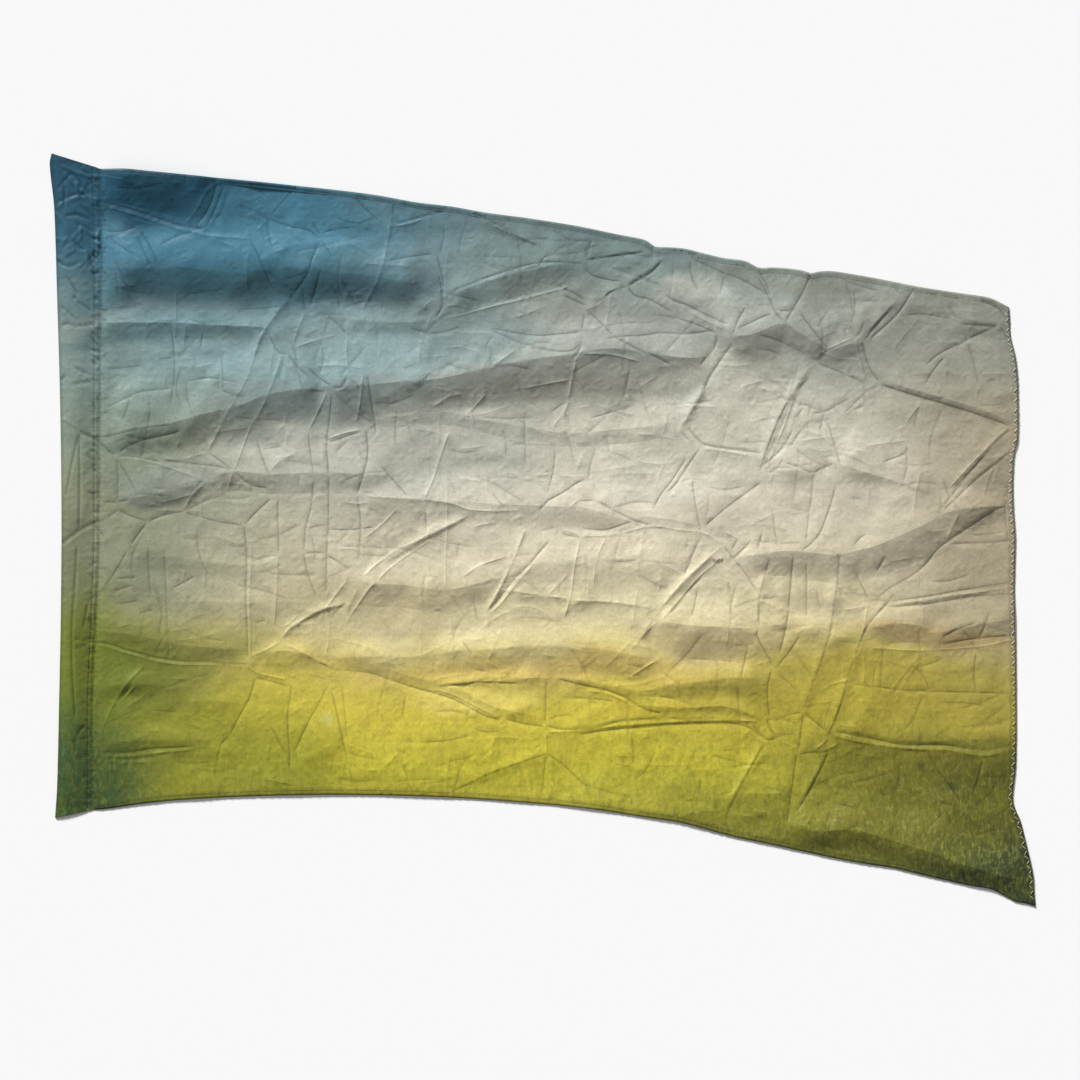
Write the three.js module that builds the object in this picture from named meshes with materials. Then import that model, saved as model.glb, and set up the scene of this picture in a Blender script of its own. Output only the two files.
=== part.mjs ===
// A cloth flag with a pole sleeve, lying face up on a flat surface with its storage folds still in it.
// Millimetres. +X runs from the sleeve to the free edge, +Y to the top hem, and the surface is z = 0.
import * as THREE from 'three';
import { ConvexHull } from 'three/addons/math/ConvexHull.js';

// Cloth
const clothThickness = 1.5;
const hemThickness = 2.2;
const hemWidth = 9;
const seamGap = 0.3;        // between the panel and the sleeve, which are parted along the stitching
const seamFlat = 45;        // the folds fade out over this width beside the stitching

// Sleeve
const sleeveLayer = 1.2;    // thickness of each of its two layers
const sleeveRise = 9;       // clear height inside, at the middle
const sleeveUneven = 0.6;   // how much that height swells and sinks along the sleeve
const sleeveWaves = 5;
const stitchedStrip = 11.5; // flat strip between the tube and the panel, which holds the twin rows
const foldRound = 1.5;      // inset of the tube's inside from its folded edge
const foldMiddle = 1.4;     // height of the folded edge's outermost line
const earLength = 45;       // the sleeve flattens over this length up to its closed top
const earWall = 9;          // solid cloth at the closed top
const closedShare = 0.1;    // of the clear height, left where the top is flat

// Mesh steps
const sleeveSteps = 36;
const edgeStep = 20;
const foldStep = 18;
const footStep = 22;        // along the foot of a flank
const openStep = 29;
const openRows = Math.sqrt(0.75);
const openNudge = 3.5;      // so that no four open points lie on one circle
const nudgeWaves = [3.1, 2.3];
const openField = { left: -600, right: 675, bottom: -510, top: 515 };
const clearOfFold = 17;     // least distance from an open point to the others
const clearOfHem = 9.6;     // from a fold's points to the hem's
const clearOnHem = 5.4;
const mergeStep = 8;

// Outlines, one row for each bend, from the corner named first to the corner named last
const sleeveEdge = [ // bottom to top
  { x: -674, y: -398 }, { x: -671, y: -353 }, { x: -668, y: -225 }, { x: -666, y: -120 },
  { x: -665, y: 20 }, { x: -667, y: 180 }, { x: -671, y: 317 }, { x: -675, y: 442 },
  { x: -681.5, y: 506 }, { x: -679, y: 520.5 },
];
const stitchEdge = [ // bottom to top
  { x: -620, y: -387 }, { x: -620, y: -237 }, { x: -615, y: -120 }, { x: -611, y: -25 },
  { x: -610, y: 157 }, { x: -608, y: 397 }, { x: -610, y: 499.4 },
];
const topEdge = [ // sleeve to free corner
  { x: -609.7, y: 499.4 }, { x: -549, y: 496 }, { x: -450, y: 486.5 }, { x: -350, y: 477 },
  { x: -251, y: 465.5 }, { x: -125, y: 447 }, { x: 10, y: 426 }, { x: 103, y: 409 },
  { x: 145, y: 400 }, { x: 157, y: 391 }, { x: 196, y: 389 }, { x: 252, y: 376 },
  { x: 297, y: 363 }, { x: 345, y: 361 }, { x: 371, y: 355 }, { x: 401, y: 358 },
  { x: 448, y: 350.5 }, { x: 513, y: 337.5 }, { x: 616, y: 321.6 }, { x: 645, y: 308 },
];
const freeEdge = [ // top to bottom
  { x: 645, y: 308 }, { x: 647, y: 268 }, { x: 657, y: 206 }, { x: 657, y: 124 },
  { x: 650.5, y: 60 }, { x: 653, y: -30 }, { x: 655, y: -235 }, { x: 653.7, y: -334 },
  { x: 650, y: -374 }, { x: 660, y: -400 }, { x: 671, y: -444 }, { x: 679, y: -487 },
  { x: 681.5, y: -520.5 },
];
const bottomEdge = [ // free tip to sleeve
  { x: 681.5, y: -520.5 }, { x: 658, y: -515 }, { x: 621, y: -497 }, { x: 539, y: -480 },
  { x: 411, y: -455 }, { x: 315, y: -434.5 }, { x: 183, y: -403 }, { x: 77, y: -387 },
  { x: -62, y: -374 }, { x: -247, y: -366 }, { x: -401, y: -368 }, { x: -524, y: -375 },
  { x: -619.7, y: -387 },
];

// Folds. Each is a ridge along line, which runs left to right or bottom to top. rise is its height,
// and its flanks fall to the surface over the widths left and right of the way that the line runs,
// given at its start and at its end.
const folds = [
  // top left
  { line: [[-606, 480], [-560, 475], [-500, 473], [-462, 478]], rise: 9, left: [14, 8], right: [22, 46] },
  { line: [[-600, 401], [-500, 402], [-410, 402]], rise: 4, left: [12, 10], right: [10, 9] },
  { line: [[-612, 360], [-500, 360], [-400, 358], [-300, 357], [-160, 350]],
    rise: 13, left: [28, 26], right: [54, 45] },
  { line: [[-612, 287], [-500, 286], [-382, 284]], rise: 6, left: [14, 12], right: [22, 18] },
  { line: [[-285, 293], [-222, 287], [-150, 290]], rise: 4, left: [9, 9], right: [14, 14] },
  { line: [[-128, 322], [-100, 334], [-50, 350], [40, 372]], rise: 10, left: [26, 26], right: [24, 40] },
  { line: [[-85, 436], [-40, 408], [40, 377]], rise: 5, left: [14, 14], right: [14, 12] },
  // the long band under the top, from the sleeve to the right
  { line: [[-600, 138], [-500, 152], [-430, 168], [-380, 188], [-300, 199]],
    rise: 11, left: [90, 62], right: [26, 48] },
  { line: [[-300, 199], [-150, 216], [-60, 228], [80, 249]], rise: 13, left: [60, 30], right: [50, 62] },
  { line: [[80, 249], [130, 247], [200, 238], [235, 240]], rise: 12, left: [28, 26], right: [60, 44] },
  { line: [[262, 268], [300, 271], [334, 284], [392, 250]], rise: 12, left: [14, 14], right: [44, 26] },
  { line: [[373, 236], [392, 250], [429, 264], [441, 278]], rise: 9, left: [10, 10], right: [30, 20] },
  { line: [[188, 136], [220, 196], [254, 270]], rise: 6, left: [14, 14], right: [14, 20] },
  // middle, from the sleeve to the right
  { line: [[-592, 42], [-500, 54], [-430, 72]], rise: 6, left: [24, 24], right: [16, 16] },
  { line: [[-425, 74], [-350, 76], [-215, 76]], rise: 8, left: [40, 30], right: [20, 28] },
  { line: [[-200, 46], [-100, 42], [0, 38], [150, 22], [215, 8]], rise: 5, left: [20, 30], right: [18, 24] },
  { line: [[305, 82], [350, 80], [385, 84]], rise: 5, left: [22, 22], right: [32, 30] },
  { line: [[400, 92], [450, 77], [546, 46]], rise: 7, left: [42, 30], right: [28, 16] },
  { line: [[466, 214], [520, 206], [580, 191], [645, 160]], rise: 8, left: [50, 46], right: [16, 24] },
  { line: [[560, 296], [590, 290], [632, 283]], rise: 7, left: [20, 20], right: [36, 12] },
  { line: [[545, 33], [600, 95], [650, 141]], rise: 7, left: [13, 13], right: [12, 12] },
  { line: [[270, -38], [340, -29], [411, -35], [466, -19], [510, 0], [561, 47], [652, 114]],
    rise: 12, left: [30, 56], right: [24, 46] },
  { line: [[-570, -22], [-505, -36], [-410, -50]], rise: 4, left: [30, 30], right: [30, 40] },
  { line: [[-245, -76], [-190, -76], [-135, -82], [-60, -69]], rise: 9, left: [46, 50], right: [30, 28] },
  { line: [[-55, -62], [0, -55], [60, -46], [190, -55]], rise: 8, left: [34, 44], right: [26, 50] },
  { line: [[155, -124], [193, -133], [250, -137], [297, -139]], rise: 11, left: [26, 30], right: [46, 54] },
  { line: [[340, -149], [390, -147], [430, -150]], rise: 7, left: [20, 20], right: [34, 34] },
  { line: [[446, -133], [500, -136], [548, -134]], rise: 8, left: [20, 20], right: [26, 26] },
  { line: [[560, -136], [600, -126], [650, -120]], rise: 6, left: [18, 18], right: [18, 30] },
  { line: [[475, -106], [510, -101], [555, -90], [650, -77]], rise: 4, left: [12, 12], right: [12, 12] },
  // bottom, from the sleeve to the right
  { line: [[-618, -150], [-560, -158], [-500, -170], [-400, -181]],
    rise: 6, left: [30, 30], right: [14, 13] },
  { line: [[-600, -212], [-545, -214]], rise: 4, left: [16, 16], right: [18, 18] },
  { line: [[-615, -296], [-560, -294], [-470, -294]], rise: 5, left: [22, 22], right: [18, 16] },
  { line: [[-356, -166], [-305, -178]], rise: 5, left: [18, 18], right: [22, 18] },
  { line: [[-150, -166], [-50, -161], [50, -160], [140, -164]], rise: 7, left: [24, 32], right: [34, 42] },
  { line: [[-300, -186], [-170, -211], [-110, -231], [0, -266]], rise: 6, left: [22, 18], right: [14, 14] },
  { line: [[-150, -202], [20, -202], [80, -215], [150, -238]], rise: 5, left: [16, 14], right: [12, 12] },
  { line: [[150, -206], [200, -212], [310, -212]], rise: 7, left: [22, 22], right: [24, 28] },
  { line: [[24, -279], [130, -268], [262, -262], [310, -264]], rise: 6, left: [16, 14], right: [16, 16] },
  { line: [[396, -281], [466, -298], [528, -305], [610, -313], [650, -308]],
    rise: 8, left: [14, 14], right: [42, 46] },
  { line: [[350, -414], [422, -414], [488, -429], [543, -445], [655, -482]],
    rise: 9, left: [36, 34], right: [26, 32] },
  // steep creases, from the left to the right
  { line: [[-463, 108], [-412, 200], [-393, 262], [-340, 335]], rise: 8, left: [14, 14], right: [14, 14] },
  { line: [[-350, 320], [-325, 352], [-303, 402]], rise: 5, left: [12, 12], right: [12, 12] },
  { line: [[-249, 302], [-226, 350], [-213, 415]], rise: 6, left: [12, 12], right: [12, 12] },
  { line: [[-353, -138], [-310, -108], [-270, -98]], rise: 6, left: [12, 12], right: [12, 12] },
  { line: [[-265, -90], [-220, -45], [-160, -8], [-103, 20]], rise: 6, left: [13, 13], right: [13, 13] },
  { line: [[-79, -110], [-50, -60], [-23, 0]], rise: 6, left: [12, 12], right: [12, 12] },
  { line: [[-118, -356], [-50, -328], [5, -310]], rise: 4, left: [12, 12], right: [12, 12] },
  { line: [[58, 363], [100, 374], [140, 384]], rise: 6, left: [14, 14], right: [12, 12] },
  { line: [[86, 326], [117, 335], [166, 371]], rise: 7, left: [12, 12], right: [14, 14] },
  { line: [[122, -167], [162, -111], [204, -64], [249, -21]], rise: 9, left: [15, 16], right: [16, 20] },
  { line: [[254, -392], [309, -295]], rise: 5, left: [13, 13], right: [13, 13] },
  { line: [[299, 77], [315, 130], [342, 183], [373, 235]], rise: 7, left: [14, 14], right: [14, 14] },
  { line: [[323, -188], [297, -138], [302, -85], [315, -40]], rise: 6, left: [13, 13], right: [14, 14] },
  { line: [[347, -390], [392, -305]], rise: 5, left: [13, 13], right: [13, 13] },
  { line: [[360, -252], [385, -178], [402, -110], [411, -35]], rise: 7, left: [14, 14], right: [14, 14] },
  { line: [[396, -279], [431, -174], [446, -134], [486, -88]], rise: 8, left: [14, 14], right: [16, 16] },
  { line: [[444, 261], [488, 316], [513, 333]], rise: 7, left: [13, 13], right: [15, 15] },
];
const foldTaper = 42;       // a ridge climbs to its full height over this length from each end
const endShare = 0.3;       // share of that height at the very end
const flatBelow = 0.35;     // a lift smaller than this lies flat on the surface

// Colours, a linear share of red, green and blue
const panelColour = new THREE.Color(0.42, 0.4, 0.25);
const sleeveColour = new THREE.Color(0.16, 0.26, 0.27);

function smoothEdge(rows, steps) {
  const bends = rows.map(({ x, y }) => new THREE.Vector3(x, y, 0));
  const curve = new THREE.CatmullRomCurve3(bends, false, 'centripetal');
  const count = steps ?? Math.ceil(curve.getLength() / edgeStep);
  return curve.getSpacedPoints(count);
}

// Height of one ridge over a place, or 0 away from it
function ridgeHeight(fold, x, y) {
  let nearest = Infinity;
  let height = 0;
  let walked = 0;
  for (let i = 1; i < fold.line.length; i++) {
    const [ax, ay] = fold.line[i - 1];
    const [bx, by] = fold.line[i];
    const dx = bx - ax;
    const dy = by - ay;
    const length = Math.hypot(dx, dy);
    const share = THREE.MathUtils.clamp(((x - ax) * dx + (y - ay) * dy) / length ** 2, 0, 1);
    const away = Math.hypot(x - ax - share * dx, y - ay - share * dy);
    if (away < nearest) {
      nearest = away;
      const onLeft = dx * (y - ay) - dy * (x - ax) > 0;
      const along = walked + share * length;
      const width = THREE.MathUtils.lerp(...(onLeft ? fold.left : fold.right), along / fold.length);
      const fromEnd = Math.min(along, fold.length - along) / foldTaper;
      const climb = endShare + (1 - endShare) * Math.min(1, fromEnd);
      height = fold.rise * climb * Math.max(0, 1 - away / width);
    }
    walked += length;
  }
  return height;
}

function lineLength(line) {
  return line.slice(1).reduce((sum, [x, y], i) => sum + Math.hypot(x - line[i][0], y - line[i][1]), 0);
}
for (const fold of folds) fold.length = lineLength(fold.line);

// Height of the cloth's underside over the surface
function clothHeight(x, y, seamX) {
  const lift = Math.max(...folds.map((fold) => ridgeHeight(fold, x, y)));
  const besideSeam = THREE.MathUtils.clamp((x - seamX) / seamFlat, 0, 1);
  const height = lift * besideSeam;
  return height < flatBelow ? 0 : height;
}

function isInside(ring, x, y) {
  let inside = false;
  ring.forEach((a, i) => {
    const b = ring[(i + 1) % ring.length];
    const crosses = (a.y > y) !== (b.y > y);
    if (crosses && x < a.x + ((y - a.y) / (b.y - a.y)) * (b.x - a.x)) inside = !inside;
  });
  return inside;
}

// Points a hem's width inside an edge that has the cloth on its right
function hemLine(edge) {
  return edge.slice(1, -1).map((point, i) => {
    const along = edge[i + 2].clone().sub(edge[i]).normalize();
    return new THREE.Vector3(point.x + along.y * hemWidth, point.y - along.x * hemWidth, 0);
  });
}

// Points along a ridge, or along the foot of a flank, which lies beside it at the flank's widths.
// Positive widths are to the left.
function pointsBeside(fold, widths, step) {
  let walked = 0;
  return fold.line.slice(1).flatMap(([bx, by], i) => {
    const [ax, ay] = fold.line[i];
    const length = Math.hypot(bx - ax, by - ay);
    const steps = Math.max(1, Math.round(length / step));
    const points = Array.from({ length: steps + 1 }, (_, k) => {
      const share = k / steps;
      const offset = THREE.MathUtils.lerp(...widths, (walked + share * length) / fold.length);
      return new THREE.Vector3(
        ax + share * (bx - ax) - offset * (by - ay) / length,
        ay + share * (by - ay) + offset * (bx - ax) / length, 0);
    });
    walked += length;
    return points;
  });
}

function foldPoints() {
  return [
    ...folds.flatMap((fold) => pointsBeside(fold, [0, 0], foldStep)),
    ...folds.flatMap((fold) => pointsBeside(fold, fold.left, footStep)),
    ...folds.flatMap((fold) => pointsBeside(fold, fold.right.map((width) => -width), footStep)),
  ];
}

// Evenly spread points, each nudged a little so that no four lie on one circle
function openPoints() {
  const { left, right, bottom, top } = openField;
  const points = [];
  for (let row = 0, y = bottom; y < top; row++, y += openStep * openRows) {
    for (let x = left + (row % 2) * openStep / 2; x < right; x += openStep) {
      const besideX = openNudge * Math.sin(nudgeWaves[0] * x + y);
      const besideY = openNudge * Math.cos(nudgeWaves[1] * y + x);
      points.push(new THREE.Vector3(x + besideX, y + besideY, 0));
    }
  }
  return points;
}

function farFrom(points, place, distance) {
  return points.every((point) => point.distanceToSquared(place) > distance ** 2);
}

// Triangles between scattered points: the underside of the hull of the points lifted onto a bowl
function joinPoints(points) {
  const bowl = 1000;
  const lift = ({ x, y }) => new THREE.Vector3(x, y, (x * x + y * y) / bowl).divideScalar(bowl);
  const lifted = points.map(lift);
  const place = new Map(lifted.map((point, i) => [point, i]));
  const hull = new ConvexHull().setFromPoints(lifted);
  return hull.faces.filter((face) => face.normal.z < 0).map(({ edge }) => {
    const corners = [edge, edge.next, edge.next.next].map((side) => place.get(side.head().point));
    return corners.reverse();
  });
}

// One closed sheet: the same triangles above and below, and a wall round the edge
function closeSheet(lower, upper, triangles) {
  const vertices = [...lower, ...upper];
  const count = lower.length;
  const faces = [];
  const sides = new Map();
  for (const [a, b, c] of triangles) {
    faces.push([a, c, b], [a + count, b + count, c + count]);
    for (const [from, to] of [[a, b], [b, c], [c, a]]) {
      if (!sides.delete(`${to} ${from}`)) sides.set(`${from} ${to}`, [from, to]);
    }
  }
  for (const [from, to] of sides.values()) {
    faces.push([from, to, to + count], [from, to + count, from + count]);
  }
  return solid(vertices, faces);
}

function solid(vertices, faces) {
  const geometry = new THREE.BufferGeometry();
  geometry.setAttribute('position', new THREE.Float32BufferAttribute(vertices.flat(), 3));
  geometry.setIndex(faces.flat());
  geometry.computeVertexNormals();
  return geometry;
}

function panelGeometry(seam) {
  const border = seam.map(({ x, y }) => new THREE.Vector3(x + seamGap, y, 0));
  const hemmed = [topEdge, freeEdge, bottomEdge].map((rows) => smoothEdge(rows));
  hemmed[0][0] = border.at(-1);
  hemmed[2][hemmed[2].length - 1] = border[0];
  const ring = [...border, ...hemmed.flatMap((edge) => edge.slice(1))].slice(0, -1);
  const inner = hemmed.flatMap(hemLine).filter((point) => isInside(ring, point.x, point.y));
  const points = [...ring];
  for (const point of inner) {
    if (farFrom(points, point, clearOnHem)) points.push(point);
  }
  const hemCount = points.length;
  const hemPoints = points.slice(0, hemCount);
  for (const point of foldPoints()) {
    const inField = isInside(ring, point.x, point.y) && farFrom(hemPoints, point, clearOfHem);
    if (inField && farFrom(points, point, mergeStep)) points.push(point);
  }
  for (const point of openPoints()) {
    const inField = isInside(ring, point.x, point.y) && farFrom(points, point, clearOfFold);
    if (inField) points.push(point);
  }
  const triangles = joinPoints(points).filter((corners) => {
    const [a, b, c] = corners.map((i) => points[i]);
    return isInside(ring, (a.x + b.x + c.x) / 3, (a.y + b.y + c.y) / 3);
  });
  const seamX = (y) => border.reduce((near, p) => (Math.abs(p.y - y) < Math.abs(near.y - y) ? p : near)).x;
  const lower = points.map(({ x, y }) => [x, y, clothHeight(x, y, seamX(y))]);
  const upper = lower.map(([x, y, z], i) => {
    const onHem = i >= border.length && i < hemCount;
    return [x, y, z + (onHem ? hemThickness : clothThickness)];
  });
  return closeSheet(lower, upper, triangles);
}

// Sections across the sleeve, in the distance from its folded edge and the height
const archShares = [1, 0.9, 0.72, 0.45, 0.15, -0.15, -0.45, -0.72, -0.9, -1];

function archPoints(from, to, base, rise) {
  const middle = (from + to) / 2;
  const half = (to - from) / 2;
  return archShares.map((share) => [middle + half * share, base + rise * (1 - share ** 4)]);
}

function outerSection(width, rise) {
  const strip = width - stitchedStrip;
  return [
    [foldRound, 0], [width, 0], [width, 2 * sleeveLayer],
    ...archPoints(foldRound / 2, strip + foldRound, 2 * sleeveLayer, rise),
    [0, foldMiddle],
  ];
}

function innerSection(width, rise) {
  return archPoints(foldRound + sleeveLayer, width - stitchedStrip, sleeveLayer, rise);
}

function sleeveGeometry(folded, seam) {
  const vertices = [];
  const faces = [];
  const total = folded.length - 1;

  function place(index, section) {
    const from = folded[index];
    const across = seam[index].clone().sub(from);
    const width = across.length();
    across.normalize();
    return section(width).map(([out, z]) => {
      vertices.push([from.x + across.x * out, from.y + across.y * out, z]);
      return vertices.length - 1;
    });
  }
  function riseAt(index) {
    const toTop = folded[total].distanceTo(folded[index]) - earWall;
    const swell = sleeveUneven * Math.sin((index / total) * sleeveWaves * Math.PI);
    return (sleeveRise + swell) * THREE.MathUtils.clamp(toTop / earLength, closedShare, 1);
  }
  function skin(rings, flip) {
    for (let i = 1; i < rings.length; i++) {
      const count = rings[i].length;
      for (let k = 0; k < count; k++) {
        const next = (k + 1) % count;
        const corners = [rings[i - 1][k], rings[i][k], rings[i][next], rings[i - 1][next]];
        if (flip) corners.reverse();
        faces.push([corners[0], corners[1], corners[2]], [corners[0], corners[2], corners[3]]);
      }
    }
  }
  function cap(outer, hole, flip) {
    const flat = (ring) => ring.map((i) => new THREE.Vector2(vertices[i][0], vertices[i][2]));
    const all = [...outer, ...hole];
    const holes = hole.length ? [flat(hole)] : [];
    for (const triangle of THREE.ShapeUtils.triangulateShape(flat(outer), holes)) {
      const corners = triangle.map((i) => all[i]);
      faces.push(flip ? corners.reverse() : corners);
    }
  }

  const outerRings = folded.map((_, i) => place(i, (width) => outerSection(width, riseAt(i))));
  const innerRings = folded.slice(0, -1).map((_, i) => place(i, (width) => innerSection(width, riseAt(i))));
  skin(outerRings, false);
  skin(innerRings, true);
  cap(outerRings[0], innerRings[0], false);
  cap(outerRings[total], [], true);
  cap(innerRings.at(-1), [], false);
  return solid(vertices, faces);
}

function piece(name, geometry, color) {
  const material = new THREE.MeshStandardMaterial({ color, roughness: 0.5, metalness: 0 });
  const mesh = new THREE.Mesh(geometry, material);
  mesh.name = name;
  return mesh;
}

const foldedEdge = smoothEdge(sleeveEdge, sleeveSteps);
const seamLine = smoothEdge(stitchEdge, sleeveSteps);

const flag = new THREE.Group();
flag.add(piece('cloth_panel', panelGeometry(seamLine), panelColour));
flag.add(piece('pole_sleeve', sleeveGeometry(foldedEdge, seamLine), sleeveColour));

export default flag;
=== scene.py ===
import bpy
import math
import numpy as np
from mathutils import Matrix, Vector
from mathutils.geometry import delaunay_2d_cdt


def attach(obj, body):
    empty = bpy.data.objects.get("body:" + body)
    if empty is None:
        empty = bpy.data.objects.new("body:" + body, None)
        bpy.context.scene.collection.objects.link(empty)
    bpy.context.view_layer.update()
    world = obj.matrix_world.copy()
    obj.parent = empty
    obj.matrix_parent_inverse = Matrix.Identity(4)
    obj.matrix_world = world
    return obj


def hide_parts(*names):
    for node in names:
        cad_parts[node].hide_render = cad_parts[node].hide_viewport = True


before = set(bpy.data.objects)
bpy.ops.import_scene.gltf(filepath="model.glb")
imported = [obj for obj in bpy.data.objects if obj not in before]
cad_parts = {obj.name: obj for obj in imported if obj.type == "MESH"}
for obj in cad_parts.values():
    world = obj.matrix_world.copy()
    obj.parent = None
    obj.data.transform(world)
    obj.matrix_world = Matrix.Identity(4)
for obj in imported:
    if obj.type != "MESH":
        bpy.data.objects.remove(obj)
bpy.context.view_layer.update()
print("frame loaded")

# A worship flag of thin silky cloth, lying face up with its storage folds still in it.
# Places and sizes are in millimetres where nothing else is said, on the frame's own axes:
# +X to the free edge, +Y to the top hem.
mm = 0.001

# Camera
viewpoint = {"height": 5.0, "middle": (-0.0035, -0.0138), "frameWidth": 1.4936, "sensor": 36.0}


def addCamera(values):
    data = bpy.data.cameras.new("flagCamera")
    data.sensor_width = values["sensor"]
    data.lens = values["sensor"] * values["height"] / values["frameWidth"]
    camera = bpy.data.objects.new("flagCamera", data)
    camera.location = (*values["middle"], values["height"])
    bpy.context.scene.collection.objects.link(camera)
    bpy.context.scene.camera = camera


addCamera(viewpoint)
print("camera placed")

# Outlines of the flag
outline = {"edgeStep": 5.0, "seamStep": 2.4, "foldStep": 2.0, "curvePoints": 24}
foldedEdge = [  # the sleeve's left edge, bottom to top
    (-674, -398), (-671, -353), (-668, -225), (-666, -120), (-665, 20), (-667, 180), (-671, 317),
    (-675, 442), (-681.5, 506), (-679, 520.5)]
seamEdge = [    # the stitched side of the sleeve, bottom to top
    (-620, -387), (-620, -237), (-615, -120), (-611, -25), (-610, 157), (-608, 397), (-610, 499.4)]
topEdge = [     # sleeve to free corner
    (-610, 499.4), (-575, 498.5), (-549, 496), (-487, 490), (-410, 483), (-350, 477), (-276, 469),
    (-224, 462), (-175, 453), (-125, 447), (-74, 438), (-19, 431), (47, 420.5), (103, 409),
    (140, 401.5), (148, 397), (156, 391.5), (170, 391), (196, 389), (225, 382), (252, 376),
    (280, 372), (292, 366), (300, 362.5), (320, 363), (345, 361), (362, 358), (371, 355),
    (382, 357.5), (401, 358), (448, 350.5), (480, 344.5), (513, 337.5), (550, 331.5), (588, 326),
    (616, 321.6), (630, 316), (645, 308)]
freeEdge = [    # top to bottom
    (645, 308), (646, 290), (647, 268), (653, 243), (657, 206), (657.5, 165), (657, 124),
    (653, 109), (651, 88), (650.5, 40), (653, 0), (653.7, -13), (652.6, -88), (654, -154),
    (655, -235), (655, -290), (653.7, -334), (650.5, -360), (650, -374), (654, -387), (660, -400),
    (671, -444), (678, -477), (679.5, -500), (681.5, -520.5)]
bottomEdge = [  # free tip to sleeve
    (681.5, -520.5), (669, -516.5), (655, -514), (643, -508), (621, -497), (588, -491),
    (539, -480), (488, -468), (444, -461), (411, -455), (368, -446), (315, -434.5), (262, -423.5),
    (209, -409), (183, -403), (138, -396.5), (77, -387), (24, -381), (-62, -374), (-124, -370),
    (-206, -367), (-302, -366), (-401, -368), (-499, -373), (-550, -378), (-599, -385),
    (-620, -387)]


def lengthsAlong(line):
    return np.concatenate([[0], np.cumsum(np.linalg.norm(np.diff(line, axis=0), axis=1))])


def smoothLine(rows, step):
    # points about step apart on a smooth curve through the rows
    points = np.array(rows, float)
    padded = np.vstack([2 * points[0] - points[1], points, 2 * points[-1] - points[-2]])
    share = np.linspace(0, 1, outline["curvePoints"], endpoint=False)[:, None]
    fine = []
    for a, b, c, d in zip(padded, padded[1:], padded[2:], padded[3:]):
        slopeB, slopeC = (c - a) / 2, (d - b) / 2
        reach = np.linalg.norm(c - b)
        slopeB *= reach / max(np.linalg.norm(c - a) / 2, 1e-6)
        slopeC *= reach / max(np.linalg.norm(d - b) / 2, 1e-6)
        fine.append((2 * share**3 - 3 * share**2 + 1) * b + (share**3 - 2 * share**2 + share) * slopeB
                    + (3 * share**2 - 2 * share**3) * c + (share**3 - share**2) * slopeC)
    fine = np.vstack([*fine, points[-1:]])
    walked = lengthsAlong(fine)
    count = max(2, round(walked[-1] / step)) + 1
    stops = np.linspace(0, walked[-1], count)
    return np.column_stack([np.interp(stops, walked, fine[:, k]) for k in (0, 1)])


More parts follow.
